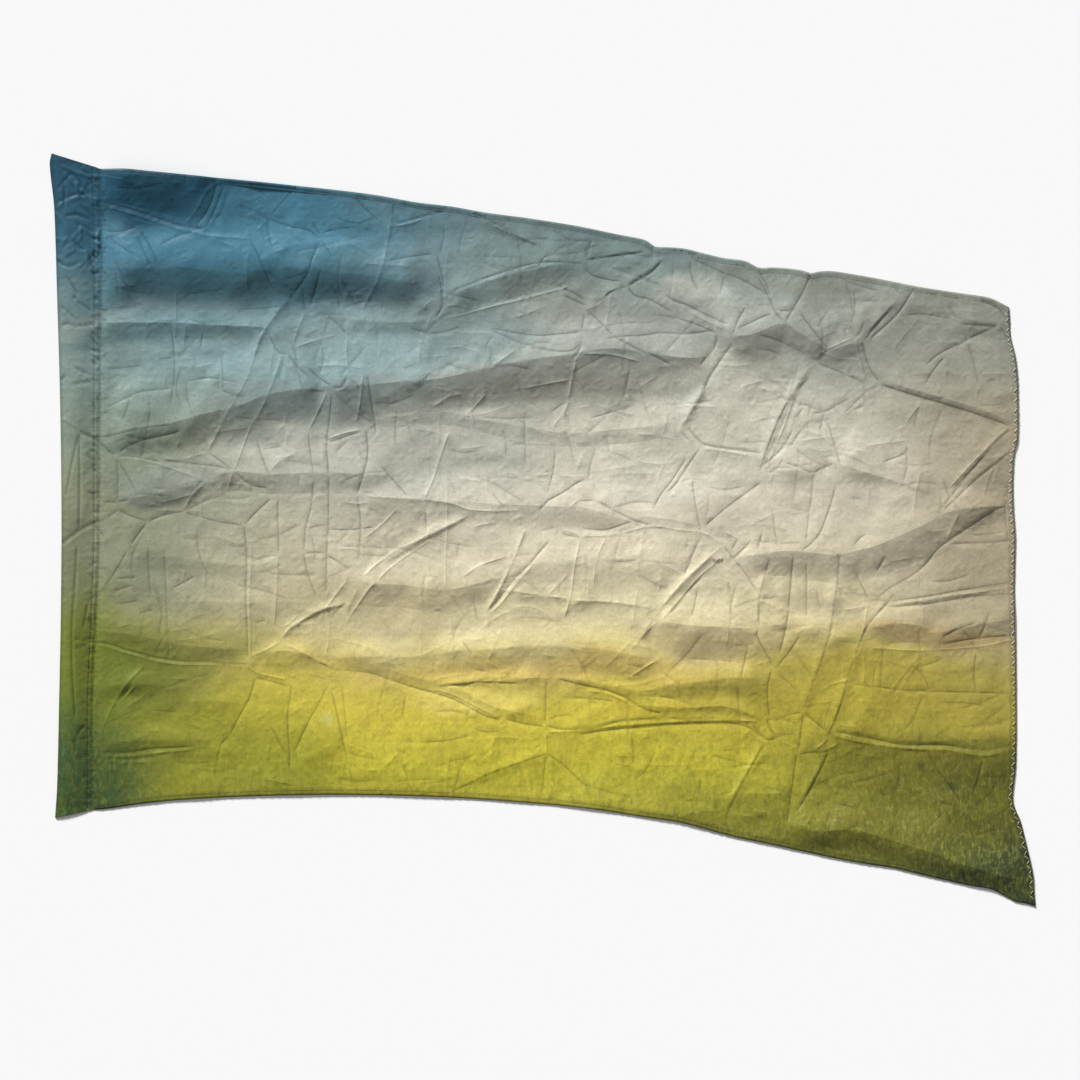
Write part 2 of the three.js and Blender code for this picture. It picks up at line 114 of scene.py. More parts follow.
# Main folds. Each is a ridge along its line, which runs left to right or bottom to top. It falls
# to the surface over the widths left and right of the line, given at its start and at its end.
# soft is the share of a rounded shape against a crisp one.
mainFolds = [
    # top left
    {"line": [(-613, 492), (-560, 489), (-500, 484), (-448, 480)],
     "rise": 12, "left": (160, 160), "right": (34, 60), "soft": 0.1, "foot": True},
    {"line": [(-600, 407), (-500, 405), (-410, 404)], "rise": 2.4, "left": (50, 40), "right": (18, 12)},
    {"line": [(-612, 364), (-560, 360), (-500, 363), (-440, 357),
              (-400, 360), (-330, 362), (-250, 352), (-160, 340)],
     "rise": 10.5, "left": (80, 60), "right": (58, 40), "soft": 0.7},
    {"line": [(-612, 286), (-560, 285.5), (-500, 285), (-440, 283), (-385, 281), (-370, 276)],
     "rise": 3.4, "left": (19, 15), "right": (26, 18), "soft": 0.5},
    {"line": [(-285, 293), (-222, 287), (-150, 290)], "rise": 2, "left": (16, 16), "right": (14, 14)},
    {"line": [(-140, 318), (-125, 326), (-60, 347), (0, 362), (52, 371)],
     "rise": 8, "left": (90, 40), "right": (32, 31), "foot": True},
    {"line": [(-85, 436), (-40, 408), (40, 377)], "rise": 3, "left": (24, 20), "right": (14, 12)},
    # the long band under the top
    {"line": [(-604, 134), (-560, 138), (-500, 152), (-430, 168), (-380, 188), (-300, 199)],
     "rise": 10, "left": (90, 62), "right": (30, 50)},
    {"line": [(-312, 198), (-300, 199), (-240, 202), (-150, 208), (-60, 226), (0, 238)],
     "rise": 13, "left": (70, 60), "right": (56, 62)},
    {"line": [(-255, 158), (-190, 160), (-130, 164), (-75, 152),
              (-20, 141), (35, 133), (100, 138), (190, 152)],
     "rise": 3.0, "left": (50, 50), "right": (18, 20), "foot": True},
    {"line": [(-70, 226), (0, 238), (80, 249), (130, 247), (200, 238), (235, 240)],
     "rise": 13, "left": (50, 40), "right": (68, 56)},
    {"line": [(240, 262), (262, 267), (290, 270), (334, 284), (350, 276), (392, 250), (402, 240)],
     "rise": 9, "left": (80, 60), "right": (42, 30)},
    {"line": [(373, 236), (386, 243), (410, 253), (433, 262), (441, 278)],
     "rise": 6, "left": (50, 40), "right": (34, 20), "foot": True},
    {"line": [(188, 136), (220, 196), (254, 270)], "rise": 3, "left": (16, 14), "right": (10, 13)},
    # middle
    {"line": [(-592, 42), (-560, 47), (-500, 57), (-463, 67)],
     "rise": 4.5, "left": (40, 40), "right": (18, 24)},
    {"line": [(-468, 64), (-463, 67), (-430, 80), (-378, 77), (-300, 79), (-200, 74)],
     "rise": 6, "left": (40, 50), "right": (26, 30), "foot": True},
    {"line": [(-258, 43), (-190, 41), (-100, 38), (0, 33), (60, 30), (110, 14)],
     "rise": 4.5, "left": (50, 50), "right": (34, 26)},
    {"line": [(120, 20), (180, 14), (235, 2)], "rise": 2, "left": (24, 20), "right": (16, 16)},
    {"line": [(305, 84), (350, 81), (385, 85)], "rise": 4, "left": (40, 40), "right": (34, 30)},
    {"line": [(400, 93), (420, 86), (450, 77), (500, 62), (546, 46)],
     "rise": 5, "left": (60, 40), "right": (27, 16)},
    {"line": [(466, 209), (500, 198), (560, 181), (600, 169), (645, 151)],
     "rise": 3.0, "left": (70, 60), "right": (9, 13), "foot": True},
    {"line": [(560, 298), (590, 292), (632, 284)], "rise": 3, "left": (30, 30), "right": (36, 12)},
    {"line": [(545, 33), (600, 95), (650, 141)], "rise": 1.5, "left": (18, 18), "right": (11, 10)},
    {"line": [(270, -38), (300, -33), (323, -29), (352, -29), (411, -35),
              (440, -28), (466, -19), (510, 0), (556, 24)],
     "rise": 9, "left": (125, 110), "right": (30, 50), "foot": True},
    {"line": [(540, 18), (556, 24), (580, 29), (612, 32), (642, 34)],
     "rise": 8, "left": (50, 24), "right": (50, 14)},
    {"line": [(550, 28), (580, 58), (610, 84), (652, 114)],
     "rise": 1.3, "left": (14, 14), "right": (9, 10)},
    {"line": [(-570, -22), (-505, -36), (-410, -50)],
     "rise": 2.5, "left": (40, 40), "right": (26, 30), "soft": 0.5},
    {"line": [(-500, -98), (-405, -101), (-370, -97)],
     "rise": 2.2, "left": (40, 30), "right": (26, 30), "soft": 0.3},
    {"line": [(-262, -62), (-245, -73), (-190, -75), (-133, -82), (-90, -74), (-60, -66)],
     "rise": 5.5, "left": (50, 50), "right": (34, 28), "foot": True},
    {"line": [(-60, -82), (10, -89), (40, -96), (101, -101), (160, -108)],
     "rise": 2.0, "left": (40, 50), "right": (16, 11)},
    {"line": [(-60, -50), (0, -46), (60, -40), (190, -46)],
     "rise": 4, "left": (40, 44), "right": (44, 50), "soft": 0.6},
    {"line": [(150, -122), (193, -130), (250, -134), (300, -137)],
     "rise": 8.5, "left": (44, 44), "right": (46, 50), "foot": True},
    {"line": [(299, -133), (331, -131), (345, -138)], "rise": 3.2, "left": (20, 20), "right": (16, 14)},
    {"line": [(345, -148), (364, -137), (390, -135), (400, -146), (436, -148)],
     "rise": 5, "left": (26, 26), "right": (34, 36)},
    {"line": [(440, -134), (480, -130), (520, -131), (548, -141)],
     "rise": 5.5, "left": (30, 30), "right": (30, 22), "foot": True},
    {"line": [(524, -136), (548, -140), (570, -136), (600, -131), (652, -122)],
     "rise": 4.8, "left": (24, 24), "right": (24, 30), "foot": True},
    {"line": [(475, -104), (520, -97), (560, -90), (600, -84), (650, -77)],
     "rise": 0.6, "left": (20, 20), "right": (9, 9)},
    # bottom
    {"line": [(-622, -139), (-590, -140), (-550, -147), (-500, -158), (-450, -165), (-405, -168)],
     "rise": 3.0, "left": (40, 40), "right": (17, 19)},
    {"line": [(-610, -216), (-575, -212), (-520, -214)],
     "rise": 3, "left": (24, 20), "right": (20, 16), "soft": 0.5},
    {"line": [(-500, -238), (-450, -236), (-415, -242)],
     "rise": 2, "left": (20, 20), "right": (16, 16), "soft": 0.5},
    {"line": [(-612, -296), (-560, -292), (-530, -289), (-470, -290)],
     "rise": 1.5, "left": (24, 20), "right": (15, 12), "soft": 0.6},
    {"line": [(-404, -182), (-385, -172), (-360, -168), (-330, -172), (-303, -183)],
     "rise": 4.5, "left": (20, 18), "right": (34, 18)},
    {"line": [(-303, -178), (-230, -176), (-170, -174), (-130, -170)],
     "rise": 3.6, "left": (24, 26), "right": (15, 34), "soft": 0.4},
    {"line": [(-160, -172), (-120, -168), (-50, -162), (50, -162), (100, -168), (160, -178)],
     "rise": 6.5, "left": (30, 36), "right": (38, 42), "soft": 0.4},
    {"line": [(-300, -180), (-240, -186), (-170, -204), (-110, -224), (-62, -245), (0, -262)],
     "rise": 1.8, "left": (24, 22), "right": (12, 12)},
    {"line": [(-148, -214), (-80, -209), (18, -205)], "rise": 3.4, "left": (24, 20), "right": (5, 19)},
    {"line": [(16, -203), (60, -209), (100, -216), (150, -228)],
     "rise": 2.2, "left": (20, 20), "right": (10, 15)},
    {"line": [(150, -214), (200, -213), (255, -206), (310, -206)],
     "rise": 5.5, "left": (30, 30), "right": (24, 30), "soft": 0.4},
    {"line": [(130, -243), (200, -247), (250, -246), (308, -262)],
     "rise": 3, "left": (18, 18), "right": (16, 9)},
    {"line": [(12, -277), (60, -271), (110, -264), (170, -260), (250, -260), (310, -264)],
     "rise": 1.2, "left": (20, 20), "right": (12, 10)},
    {"line": [(400, -281), (430, -288), (466, -297), (528, -304), (570, -305), (610, -311), (650, -303)],
     "rise": 2.4, "left": (12, 14), "right": (40, 44)},
    {"line": [(405, -272), (450, -280), (500, -290), (560, -292), (650, -284)],
     "rise": 2.0, "left": (30, 30), "right": (12, 18), "soft": 0.3},
    {"line": [(330, -404), (375, -415), (428, -415), (488, -431), (543, -447), (600, -467), (660, -486)],
     "rise": 9, "left": (60, 44), "right": (28, 32)},
]
# Steep folds, from left to right: rise, widths left and right of the line, and the line
steepShare = {"rise": 0.85, "width": 0.7}
mainFolds += [{"line": line, "rise": steepShare["rise"] * rise,
               "left": (steepShare["width"] * left,) * 2, "right": (steepShare["width"] * right,) * 2}
              for rise, left, right, line in [
    (2.6, 18, 13, [(-463, 108), (-440, 150), (-412, 205), (-393, 262), (-378, 286), (-340, 335)]),
    (2.0, 14, 12, [(-350, 320), (-325, 352), (-303, 402)]),
    (2.4, 14, 11, [(-249, 302), (-226, 350), (-215, 385), (-211, 420)]),
    (2.2, 14, 9, [(-363, -155), (-345, -135), (-310, -111), (-272, -102)]),
    (2.6, 18, 11, [(-270, -112), (-245, -66), (-220, -45), (-160, -8), (-103, 20)]),
    (2.4, 12, 10, [(-79, -112), (-50, -62), (-23, 0)]),
    (2.0, 14, 10, [(-118, -356), (-50, -328), (5, -310)]),
    (1.0, 20, 7, [(58, 372), (100, 382), (142, 388)]),
    (1.2, 14, 9, [(112, 338), (148, 361), (166, 376)]),
    (3.6, 18, 17, [(122, -167), (162, -111), (200, -67), (249, -21)]),
    (2.4, 16, 13, [(254, -392), (309, -295)]),
    (2.6, 16, 14, [(299, 77), (315, 130), (342, 183), (373, 235)]),
    (2.6, 13, 14, [(323, -188), (297, -138), (302, -85), (315, -40)]),
    (2.2, 13, 13, [(347, -390), (392, -305)]),
    (2.6, 18, 12, [(360, -252), (385, -178), (402, -110), (411, -35)]),
    (2.8, 16, 14, [(396, -279), (431, -174), (446, -134), (486, -88)]),
    (2.4, 16, 9, [(441, 268), (475, 305), (490, 320)]),
]]
# Over what length a fold dies out, its share at the end, and below which soft its ridge is a crisp line
foldShape = {"taper": 34, "endShare": 0.3, "lineStep": 5.0, "soft": 0.25, "crisp": 0.35}

# Creases pressed into the cloth: rise, half width and line. A crease with a rise under 0 is a groove.
creases = [
    # top left
    (-1.0, 4, [(-613, 456), (-560, 440), (-520, 427), (-496, 420), (-468, 417)]),
    (-0.8, 4, [(-468, 417), (-455, 440), (-440, 476)]),
    (0.9, 4, [(-613, 450), (-560, 434), (-520, 421), (-496, 414), (-440, 406), (-405, 402)]),
    (1.0, 4, [(-378, 286), (-393, 262), (-412, 205), (-440, 150), (-462, 108)]),
    (1.2, 5, [(-360, 245), (-377, 195), (-390, 165), (-402, 145)]),
    (1.0, 4, [(-402, 145), (-410, 125), (-426, 82)]),
    (-1.3, 5, [(-405, 402), (-395, 385), (-383, 358), (-370, 330)]),
    (-1.3, 4, [(-398, 438), (-378, 430), (-345, 418), (-322, 414), (-305, 402)]),
    (-2.4, 6, [(-338, 476), (-355, 460), (-378, 432)]),
    (0.7, 4, [(-378, 430), (-395, 415)]),
    (-1.3, 5, [(-448, 484), (-456, 460), (-465, 440), (-480, 420)]),
    (1.0, 5, [(-440, 484), (-462, 470), (-480, 440), (-492, 424)]),
    (0.8, 4, [(-500, 422), (-470, 409), (-440, 405)]),
    (-0.9, 3.5, [(-557, 415), (-540, 388), (-530, 367)]),
    (-0.7, 3, [(-562, 408), (-547, 378), (-538, 362)]),
    (-0.8, 3, [(-600, 406), (-585, 392), (-566, 380)]),
    (-1.6, 7, [(-606, 414), (-585, 412), (-562, 418)]),
    (0.9, 3, [(-625, 286), (-560, 286), (-500, 285.5), (-440, 283.5), (-384, 281)]),
    (-0.7, 3.5, [(-512, 278), (-510, 205), (-514, 172)]),
    (0.6, 4, [(-507, 330), (-506, 290), (-509, 262)]),
    (-0.6, 3, [(-470, 274), (-473, 250)]),
    (-0.8, 5, [(-490, 205), (-460, 209), (-422, 204)]),
    (-0.9, 6, [(-606, 170), (-575, 180), (-555, 189), (-512, 196)]),
    (-0.9, 5, [(-600, 222), (-570, 224), (-550, 226)]),
    (-1.2, 4, [(-378, 272), (-366, 248), (-350, 244)]),
    (-1.8, 5, [(-352, 244), (-340, 228), (-322, 211)]),
    (-1.4, 4, [(-325, 225), (-303, 207), (-290, 199)]),
    (-1.8, 5, [(-292, 200), (-278, 199), (-269, 215)]),
    (1.0, 4, [(-345, 253), (-310, 264), (-285, 270)]),
    (-1.0, 4, [(-300, 295), (-285, 284), (-271, 270)]),
    (0.7, 3, [(-271, 270), (-271, 240), (-268, 222)]),
    (0.9, 3.5, [(-327, 303), (-340, 272), (-346, 250)]),
    (-1.3, 4, [(-305, 400), (-315, 378), (-325, 352), (-350, 318)]),
    (-1.3, 4, [(-305, 362), (-314, 330), (-322, 308)]),
    (-1.1, 3.5, [(-277, 347), (-265, 322), (-255, 303)]),
    (-0.9, 3, [(-305, 402), (-290, 378)]),
    (-1.6, 5, [(-303, 410), (-285, 416), (-258, 420)]),
    (-1.0, 3.5, [(-320, 428), (-304, 405)]),
    (-1.4, 4, [(-262, 462), (-245, 444), (-225, 427)]),
    (1.6, 4.5, [(-209, 436), (-214, 400), (-224, 355), (-248, 304)]),
    (-0.9, 4, [(-205, 455), (-207, 430)]),
    (-1.5, 5, [(-209, 424), (-185, 428), (-160, 435), (-130, 443)]),
    (1.0, 3.5, [(-208, 419), (-180, 424), (-165, 430)]),
    (1.0, 4, [(-249, 303), (-243, 286)]),
    (-1.8, 5, [(-148, 292), (-139, 308), (-140, 325), (-145, 352)]),
    (1.2, 4, [(-137, 308), (-125, 310), (-112, 308)]),
    (1.2, 4, [(-170, 297), (-160, 287)]),
    (0.8, 4, [(-165, 309), (-150, 320)]),
    (-0.8, 4, [(-146, 380), (-140, 350), (-138, 322)]),
    (-0.8, 5, [(-215, 372), (-180, 378), (-150, 382)]),
    (1.6, 5, [(-152, 170), (-128, 186), (-110, 189)]),
    (1.5, 4.5, [(-106, 160), (-92, 172), (-76, 189)]),
    (1.4, 4.5, [(-73, 219), (-55, 234), (-36, 248)]),
    (-1.1, 4, [(-98, 441), (-60, 420), (-30, 402), (-8, 392)]),
    (1.0, 4, [(-70, 420), (-40, 408), (-10, 396)]),
    (1.0, 4, [(-168, 205), (-156, 218)]),
    # top middle
    (1.1, 4, [(-127, 293), (-75, 306), (-25, 319), (8, 328), (36, 337)]),
    (-1.2, 4, [(-127, 329), (-68, 350), (-10, 367), (25, 369), (57, 367)]),
    (-1.2, 4, [(-25, 358), (-5, 364), (2, 375), (15, 379)]),
    (-1.3, 5, [(70, 402), (65, 392), (60, 374)]),
    (-2.2, 4.5, [(58, 371), (80, 376), (110, 380), (142, 384)]),
    (-1.3, 4, [(56, 362), (70, 350), (95, 343), (110, 342)]),
    (-1.4, 4, [(20, 337), (45, 325), (60, 315)]),
    (-1.6, 5, [(25, 325), (45, 316), (62, 309)]),
    (1.1, 4, [(62, 304), (78, 312), (92, 328), (112, 333)]),
    (-1.2, 3.5, [(70, 308), (88, 322), (100, 330), (117, 335)]),
    (-2.6, 5.5, [(117, 335), (135, 346), (152, 357), (166, 373)]),
    (-1.5, 4, [(117, 335), (128, 322), (145, 318), (165, 308), (180, 301)]),
    (-1.0, 3.5, [(150, 297), (185, 294), (215, 284), (243, 271)]),
    (-1.8, 4.5, [(168, 326), (180, 318), (200, 312), (228, 298), (258, 284)]),
    (0.9, 4, [(200, 304), (228, 290), (252, 278)]),
    (-1.5, 4.5, [(60, 305), (75, 291), (88, 278), (100, 265)]),
    (-1.7, 4.5, [(100, 265), (130, 250), (155, 240), (178, 228)]),
    (-1.2, 4, [(88, 263), (108, 266), (145, 269), (160, 272), (200, 272), (240, 276)]),
    (1.5, 4, [(54, 244), (75, 243), (100, 240), (134, 233)]),
    (-1.8, 5, [(42, 236), (52, 252), (53, 262)]),
    (-1.3, 4.5, [(-20, 252), (15, 248), (42, 249), (52, 258)]),
    (-1.0, 3.5, [(-70, 277), (-25, 271), (0, 269), (30, 271), (55, 273)]),
    (-0.9, 4, [(-70, 275), (-25, 257), (10, 249)]),
    (-0.8, 3, [(58, 303), (56, 273)]),
    (0.9, 4, [(-25, 195), (0, 200), (40, 208)]),
    (1.8, 4.5, [(48, 244), (42, 210), (37, 178), (28, 150)]),
    (1.0, 4, [(40, 176), (26, 156), (12, 139)]),
    (-1.0, 4, [(42, 182), (25, 170), (12, 161)]),
    (-1.0, 3.5, [(66, 153), (90, 160), (122, 171)]),
    (-1.0, 5, [(120, 225), (116, 200), (110, 178)]),
    (-1.7, 5, [(243, 272), (240, 255), (228, 238), (218, 226)]),
    (-2.2, 6, [(264, 258), (246, 232), (232, 212), (222, 192)]),
    (1.0, 5, [(222, 192), (206, 165), (192, 142)]),
    (-1.8, 5, [(263, 268), (270, 287), (282, 308)]),
    (-1.5, 5, [(268, 277), (290, 286), (318, 297)]),
    (-1.4, 5, [(205, 376), (235, 362), (252, 354), (275, 345), (300, 332), (316, 322)]),
    (-1.2, 4.5, [(204, 375), (206, 355), (216, 331)]),
    (-1.1, 4, [(250, 353), (245, 325)]),
    (-1.0, 4, [(296, 362), (308, 342), (316, 322)]),
    (-1.2, 5, [(150, 396), (165, 389), (190, 386), (215, 380)]),
    # top right
    (-1.5, 4.5, [(335, 284), (348, 305), (362, 330), (371, 354)]),
    (-1.4, 4, [(335, 284), (322, 300), (311, 325), (298, 350)]),
    (-1.2, 4, [(322, 303), (335, 301), (350, 304)]),
    (-1.6, 4.5, [(357, 300), (375, 275), (391, 253)]),
    (-1.0, 4, [(392, 297), (380, 280)]),
    (-1.0, 4, [(430, 330), (432, 310), (431, 292)]),
    (1.0, 3.5, [(374, 237), (392, 250), (415, 260), (430, 267)]),
    (-1.6, 4.5, [(428, 265), (438, 273), (444, 292)]),
    (-1.7, 4.5, [(378, 232), (410, 219), (447, 203)]),
    (1.6, 4, [(431, 260), (440, 230), (447, 203)]),
    (-1.5, 5, [(441, 262), (452, 225), (467, 203)]),
    (-2.4, 5.5, [(444, 262), (462, 286), (484, 312)]),
    (-1.8, 4.5, [(452, 264), (490, 300), (505, 320), (514, 336)]),
    (-1.1, 4.5, [(415, 345), (440, 338), (465, 330)]),
    (-1.0, 4, [(485, 338), (495, 325)]),
    (-2.8, 6, [(466, 202), (448, 194), (434, 180), (416, 161)]),
    (-1.2, 3.5, [(446, 173), (430, 167), (418, 158)]),
    (-1.6, 4.5, [(424, 184), (405, 172), (390, 163), (372, 160)]),
    (-1.0, 4, [(372, 160), (367, 171), (350, 171)]),
    (-1.4, 4, [(390, 163), (386, 148), (383, 133)]),
    (-1.1, 4, [(394, 148), (402, 125), (412, 86)]),
    (-1.6, 4, [(352, 190), (360, 201), (370, 212)]),
    (-1.4, 4, [(300, 80), (310, 112), (322, 142), (340, 176)]),
    (1.2, 4, [(306, 78), (316, 105), (330, 135), (348, 180)]),
    (-1.3, 4, [(304, 88), (330, 112), (346, 138)]),
    (-1.1, 4, [(310, 78), (322, 84), (334, 100)]),
    (-1.1, 3.5, [(350, 152), (362, 170)]),
    (1.0, 4, [(352, 130), (366, 148), (372, 160)]),
    (-1.2, 4, [(340, 112), (356, 135), (368, 150)]),
    (-1.2, 4, [(334, 93), (355, 85), (374, 76)]),
    (-1.3, 4, [(374, 76), (388, 84), (404, 91)]),
    (-0.8, 4, [(375, 75), (373, 50), (368, 20), (364, -18)]),
    (-0.8, 5, [(503, 118), (504, 90), (498, 62)]),
    (-1.1, 3.5, [(470, 92), (500, 105), (507, 116)]),
    (-0.7, 4, [(520, 172), (512, 140)]),
    (-1.3, 4.5, [(632, 283), (600, 270), (565, 252), (545, 240), (528, 225)]),
    (-1.0, 3.5, [(555, 238), (536, 215), (528, 201)]),
    (-1.6, 5, [(578, 286), (600, 284), (630, 281)]),
    (-1.0, 4, [(562, 312), (570, 297), (582, 291)]),
    (-0.9, 6, [(500, 297), (530, 296), (565, 292)]),
    (-1.8, 7, [(604, 318), (628, 308), (642, 290)]),
    (-1.2, 5, [(632, 283), (640, 270), (648, 258)]),
    (1.0, 4, [(646, 245), (650, 215), (648, 180)]),
    (-1.0, 4, [(466, 201), (500, 190), (560, 173), (600, 160), (644, 144)]),
    # middle left
    (-2.2, 6, [(-640, 137), (-612, 121), (-600, 110), (-588, 103)]),
    (1.0, 4, [(-667, 155), (-652, 148), (-640, 139)]),
    (-1.2, 4, [(-612, 128), (-580, 133), (-545, 141), (-515, 146)]),
    (-1.5, 5, [(-588, 106), (-560, 120), (-530, 130), (-500, 138)]),
    (-1.2, 4, [(-588, 102), (-555, 98), (-528, 94)]),
    (1.4, 4.5, [(-585, 100), (-540, 93), (-500, 80), (-465, 67)]),
    (1.0, 4, [(-526, 99), (-500, 98), (-480, 103), (-461, 107)]),
    (-0.9, 4, [(-525, 96), (-490, 92), (-450, 87), (-428, 83)]),
    (-1.1, 4, [(-461, 107), (-445, 95), (-427, 82)]),
    (-1.0, 4, [(-427, 82), (-415, 70), (-400, 61), (-380, 57)]),
    (1.1, 4, [(-428, 80), (-432, 65), (-436, 52)]),
    (0.9, 4, [(-436, 52), (-420, 28), (-411, 8)]),
    (2.2, 5.5, [(-498, 27), (-484, 47), (-463, 67)]),
    (-1.4, 4.5, [(-498, 25), (-470, 18), (-440, 10), (-412, 5)]),
    (-1.2, 4, [(-411, 5), (-395, 22), (-374, 44)]),
    (-1.4, 5, [(-588, 30), (-572, 21), (-547, 13)]),
    (-1.6, 5, [(-547, 13), (-522, 22), (-498, 27), (-470, 38), (-435, 51)]),
    (-1.5, 4.5, [(-548, 12), (-560, -5), (-571, -22)]),
    (-1.0, 3.5, [(-574, -28), (-592, -60), (-616, -92)]),
    (-0.9, 3.5, [(-590, 100), (-575, 74), (-562, 50)]),
    (-0.6, 3.5, [(-588, 98), (-588, 38)]),
    (-1.8, 5, [(-610, 39), (-590, 39), (-572, 42)]),
    (-2.0, 6, [(-668, -22), (-648, -6), (-628, 6), (-600, 19), (-586, 30)]),
    (-1.2, 4, [(-395, 122), (-386, 95), (-377, 70)]),
    (-1.2, 4, [(-411, 5), (-410, -50), (-408, -120), (-407, -180)]),
    (0.7, 4, [(-404, -20), (-404, -100), (-403, -176)]),
    (-0.9, 4, [(-365, 45), (-364, 0), (-366, -36)]),
    (1.1, 4, [(-367, -38), (-368, -95), (-371, -134)]),
    (-0.6, 5, [(-521, -25), (-520, -100), (-517, -175)]),
    (-0.9, 3, [(-512, -80), (-498, -74), (-478, -63)]),
    (-0.9, 5, [(-592, -67), (-575, -66), (-560, -65)]),
    (-0.8, 4, [(-594, -85), (-580, -80), (-565, -75)]),
    (-1.0, 5, [(-404, -42), (-388, -36), (-366, -34)]),
    (2.2, 5, [(-297, 194), (-310, 166), (-323, 138)]),
    (-0.9, 4, [(-323, 137), (-320, 105), (-317, 76)]),
    (-0.9, 4, [(-317, 70), (-320, 30), (-327, 0), (-330, -30)]),
    (-0.9, 4, [(-330, -30), (-327, -50), (-312, -95)]),
    (-1.4, 4, [(-291, 192), (-294, 150), (-297, 118), (-296, 74)]),
    (-0.9, 4, [(-296, 74), (-297, 0), (-299, -90)]),
    (1.3, 3.5, [(-296, 127), (-275, 134), (-250, 138)]),
    (-1.2, 3.5, [(-294, 122), (-272, 129), (-250, 134)]),
    (1.8, 4, [(-249, 218), (-252, 185), (-257, 150)]),
    (-2.2, 6, [(-243, 216), (-239, 185), (-233, 150), (-230, 130)]),
    (-1.0, 3.5, [(-267, 212), (-252, 192)]),
    (-1.8, 5, [(-243, 137), (-242, 100), (-250, 70), (-257, 48)]),
    (-0.8, 4, [(-257, 46), (-253, 10), (-254, -42)]),
    (-1.5, 4.5, [(-224, 89), (-206, 66), (-187, 44)]),
    (1.7, 5, [(-130, 135), (-143, 100), (-152, 72), (-165, 40)]),
    (0.7, 4, [(-248, -12), (-222, 8), (-200, 30)]),
    (-0.7, 3, [(-298, 0), (-270, -1), (-232, 3)]),
    (1.3, 4, [(-103, 20), (-150, -5), (-200, -26), (-230, -46), (-248, -64)]),
    (1.1, 4, [(-150, -12), (-185, -32), (-215, -55), (-228, -70)]),
    (1.4, 4.5, [(-230, -70), (-250, -97), (-272, -130)]),
    (1.5, 4.5, [(-268, -68), (-288, -92), (-300, -110)]),
    (-1.4, 4, [(-270, -100), (-284, -112), (-294, -124)]),
    (1.3, 4, [(-363, -155), (-350, -137), (-325, -121), (-303, -110), (-274, -103)]),
    (1.1, 4, [(-360, -138), (-335, -114)]),
    (-0.9, 3.5, [(-299, -37), (-278, -48), (-265, -58)]),
    (-1.0, 4, [(-330, -32), (-300, -33)]),
    (0.8, 3.5, [(-299, -100), (-294, -140), (-300, -182)]),
    (0.9, 3.5, [(-262, -143), (-276, -128)]),
    (-0.9, 4, [(-162, 28), (-161, -8)]),
    (0.7, 4, [(-133, 60), (-132, -20), (-133, -80)]),
    (1.4, 4, [(-79, -112), (-65, -88), (-50, -62), (-35, -30), (-23, 2)]),
    (-2.0, 5, [(-77, -112), (-62, -96), (-45, -75), (-18, -48), (12, -13)]),
    (1.3, 4, [(-74, -115), (-56, -98), (-38, -78), (-14, -50)]),
    (0.9, 4, [(-79, -112), (-77, -137)]),
    (1.0, 4, [(-110, -66), (-85, -48), (-50, -36)]),
    (-0.8, 3.5, [(-112, -152), (-96, -175)]),
    (1.0, 4, [(-98, 4), (-80, 9), (-64, 11)]),
    (-0.8, 4, [(-72, 52), (-60, 38), (-52, 28)]),
    (1.0, 3.5, [(-245, 46), (-190, 42), (-130, 37), (-100, 28), (-30, 27)]),
    # middle
    (-1.9, 4.5, [(60, 72), (45, 64), (25, 50), (8, 40), (-4, 26)]),
    (-1.2, 4, [(74, 113), (67, 92), (64, 68)]),
    (-0.9, 4, [(18, 112), (16, 85), (8, 52)]),
    (-1.4, 5, [(74, 41), (100, 26), (125, 13), (148, 5)]),
    (-0.9, 4, [(50, 40), (74, 41)]),
    (1.0, 4, [(34, 28), (44, 38), (52, 45)]),
    (1.3, 4.5, [(25, 0), (40, -3), (53, -9)]),
    (-1.2, 4, [(25, -5), (40, -9), (52, -11)]),
    (1.0, 4, [(53, -9), (100, -6), (148, 4), (190, 0), (222, -4), (250, -20)]),
    (-1.2, 4, [(52, 2), (85, 0), (112, 8), (125, 12)]),
    (-0.9, 4, [(218, -2), (212, 25), (208, 75)]),
    (-1.4, 4, [(217, 112), (200, 86), (185, 64), (172, 52)]),
    (-1.1, 4, [(200, 100), (180, 70), (162, 48), (152, 28)]),
    (-1.6, 4.5, [(223, 5), (250, 28), (280, 50), (302, 66)]),
    (-1.3, 4, [(200, 142), (212, 127), (224, 118), (252, 113), (290, 108), (302, 106)]),
    (1.0, 4, [(222, 113), (255, 109), (290, 102)]),
    (-1.0, 4, [(190, 138), (197, 129), (208, 120)]),
    (-1.8, 7, [(217, -12), (206, -38), (195, -65)]),
    (1.2, 4, [(249, -22), (222, -46), (193, -72), (165, -106)]),
    (1.4, 4, [(250, -38), (215, -66), (190, -95), (164, -124)]),
    (-1.6, 4, [(222, -65), (200, -86), (176, -116)]),
    (1.0, 4, [(160, -124), (140, -144), (122, -166)]),
    (-1.0, 4, [(250, -22), (266, -42), (282, -62), (298, -86)]),
    (-1.6, 4.5, [(264, -42), (278, -27), (290, -13)]),
    (-1.6, 5, [(262, -28), (270, -14)]),
    (-1.6, 4, [(304, -1), (301, -14), (297, -27)]),
    (-1.6, 4.5, [(315, -36), (308, -62), (300, -95), (298, -132)]),
    (1.0, 4, [(250, 0), (262, -8), (274, -12)]),
    (1.3, 4, [(52, -14), (45, -50), (37, -90), (29, -122)]),
    (1.0, 4, [(36, -60), (22, -74), (8, -90)]),
    (0.7, 4, [(86, -10), (74, -40), (70, -78)]),
    (1.0, 3.5, [(-60, -82), (-20, -88), (35, -95)]),
    (1.0, 3.5, [(40, -97), (100, -101), (158, -109)]),
    (-0.8, 4, [(268, -75), (258, -118)]),
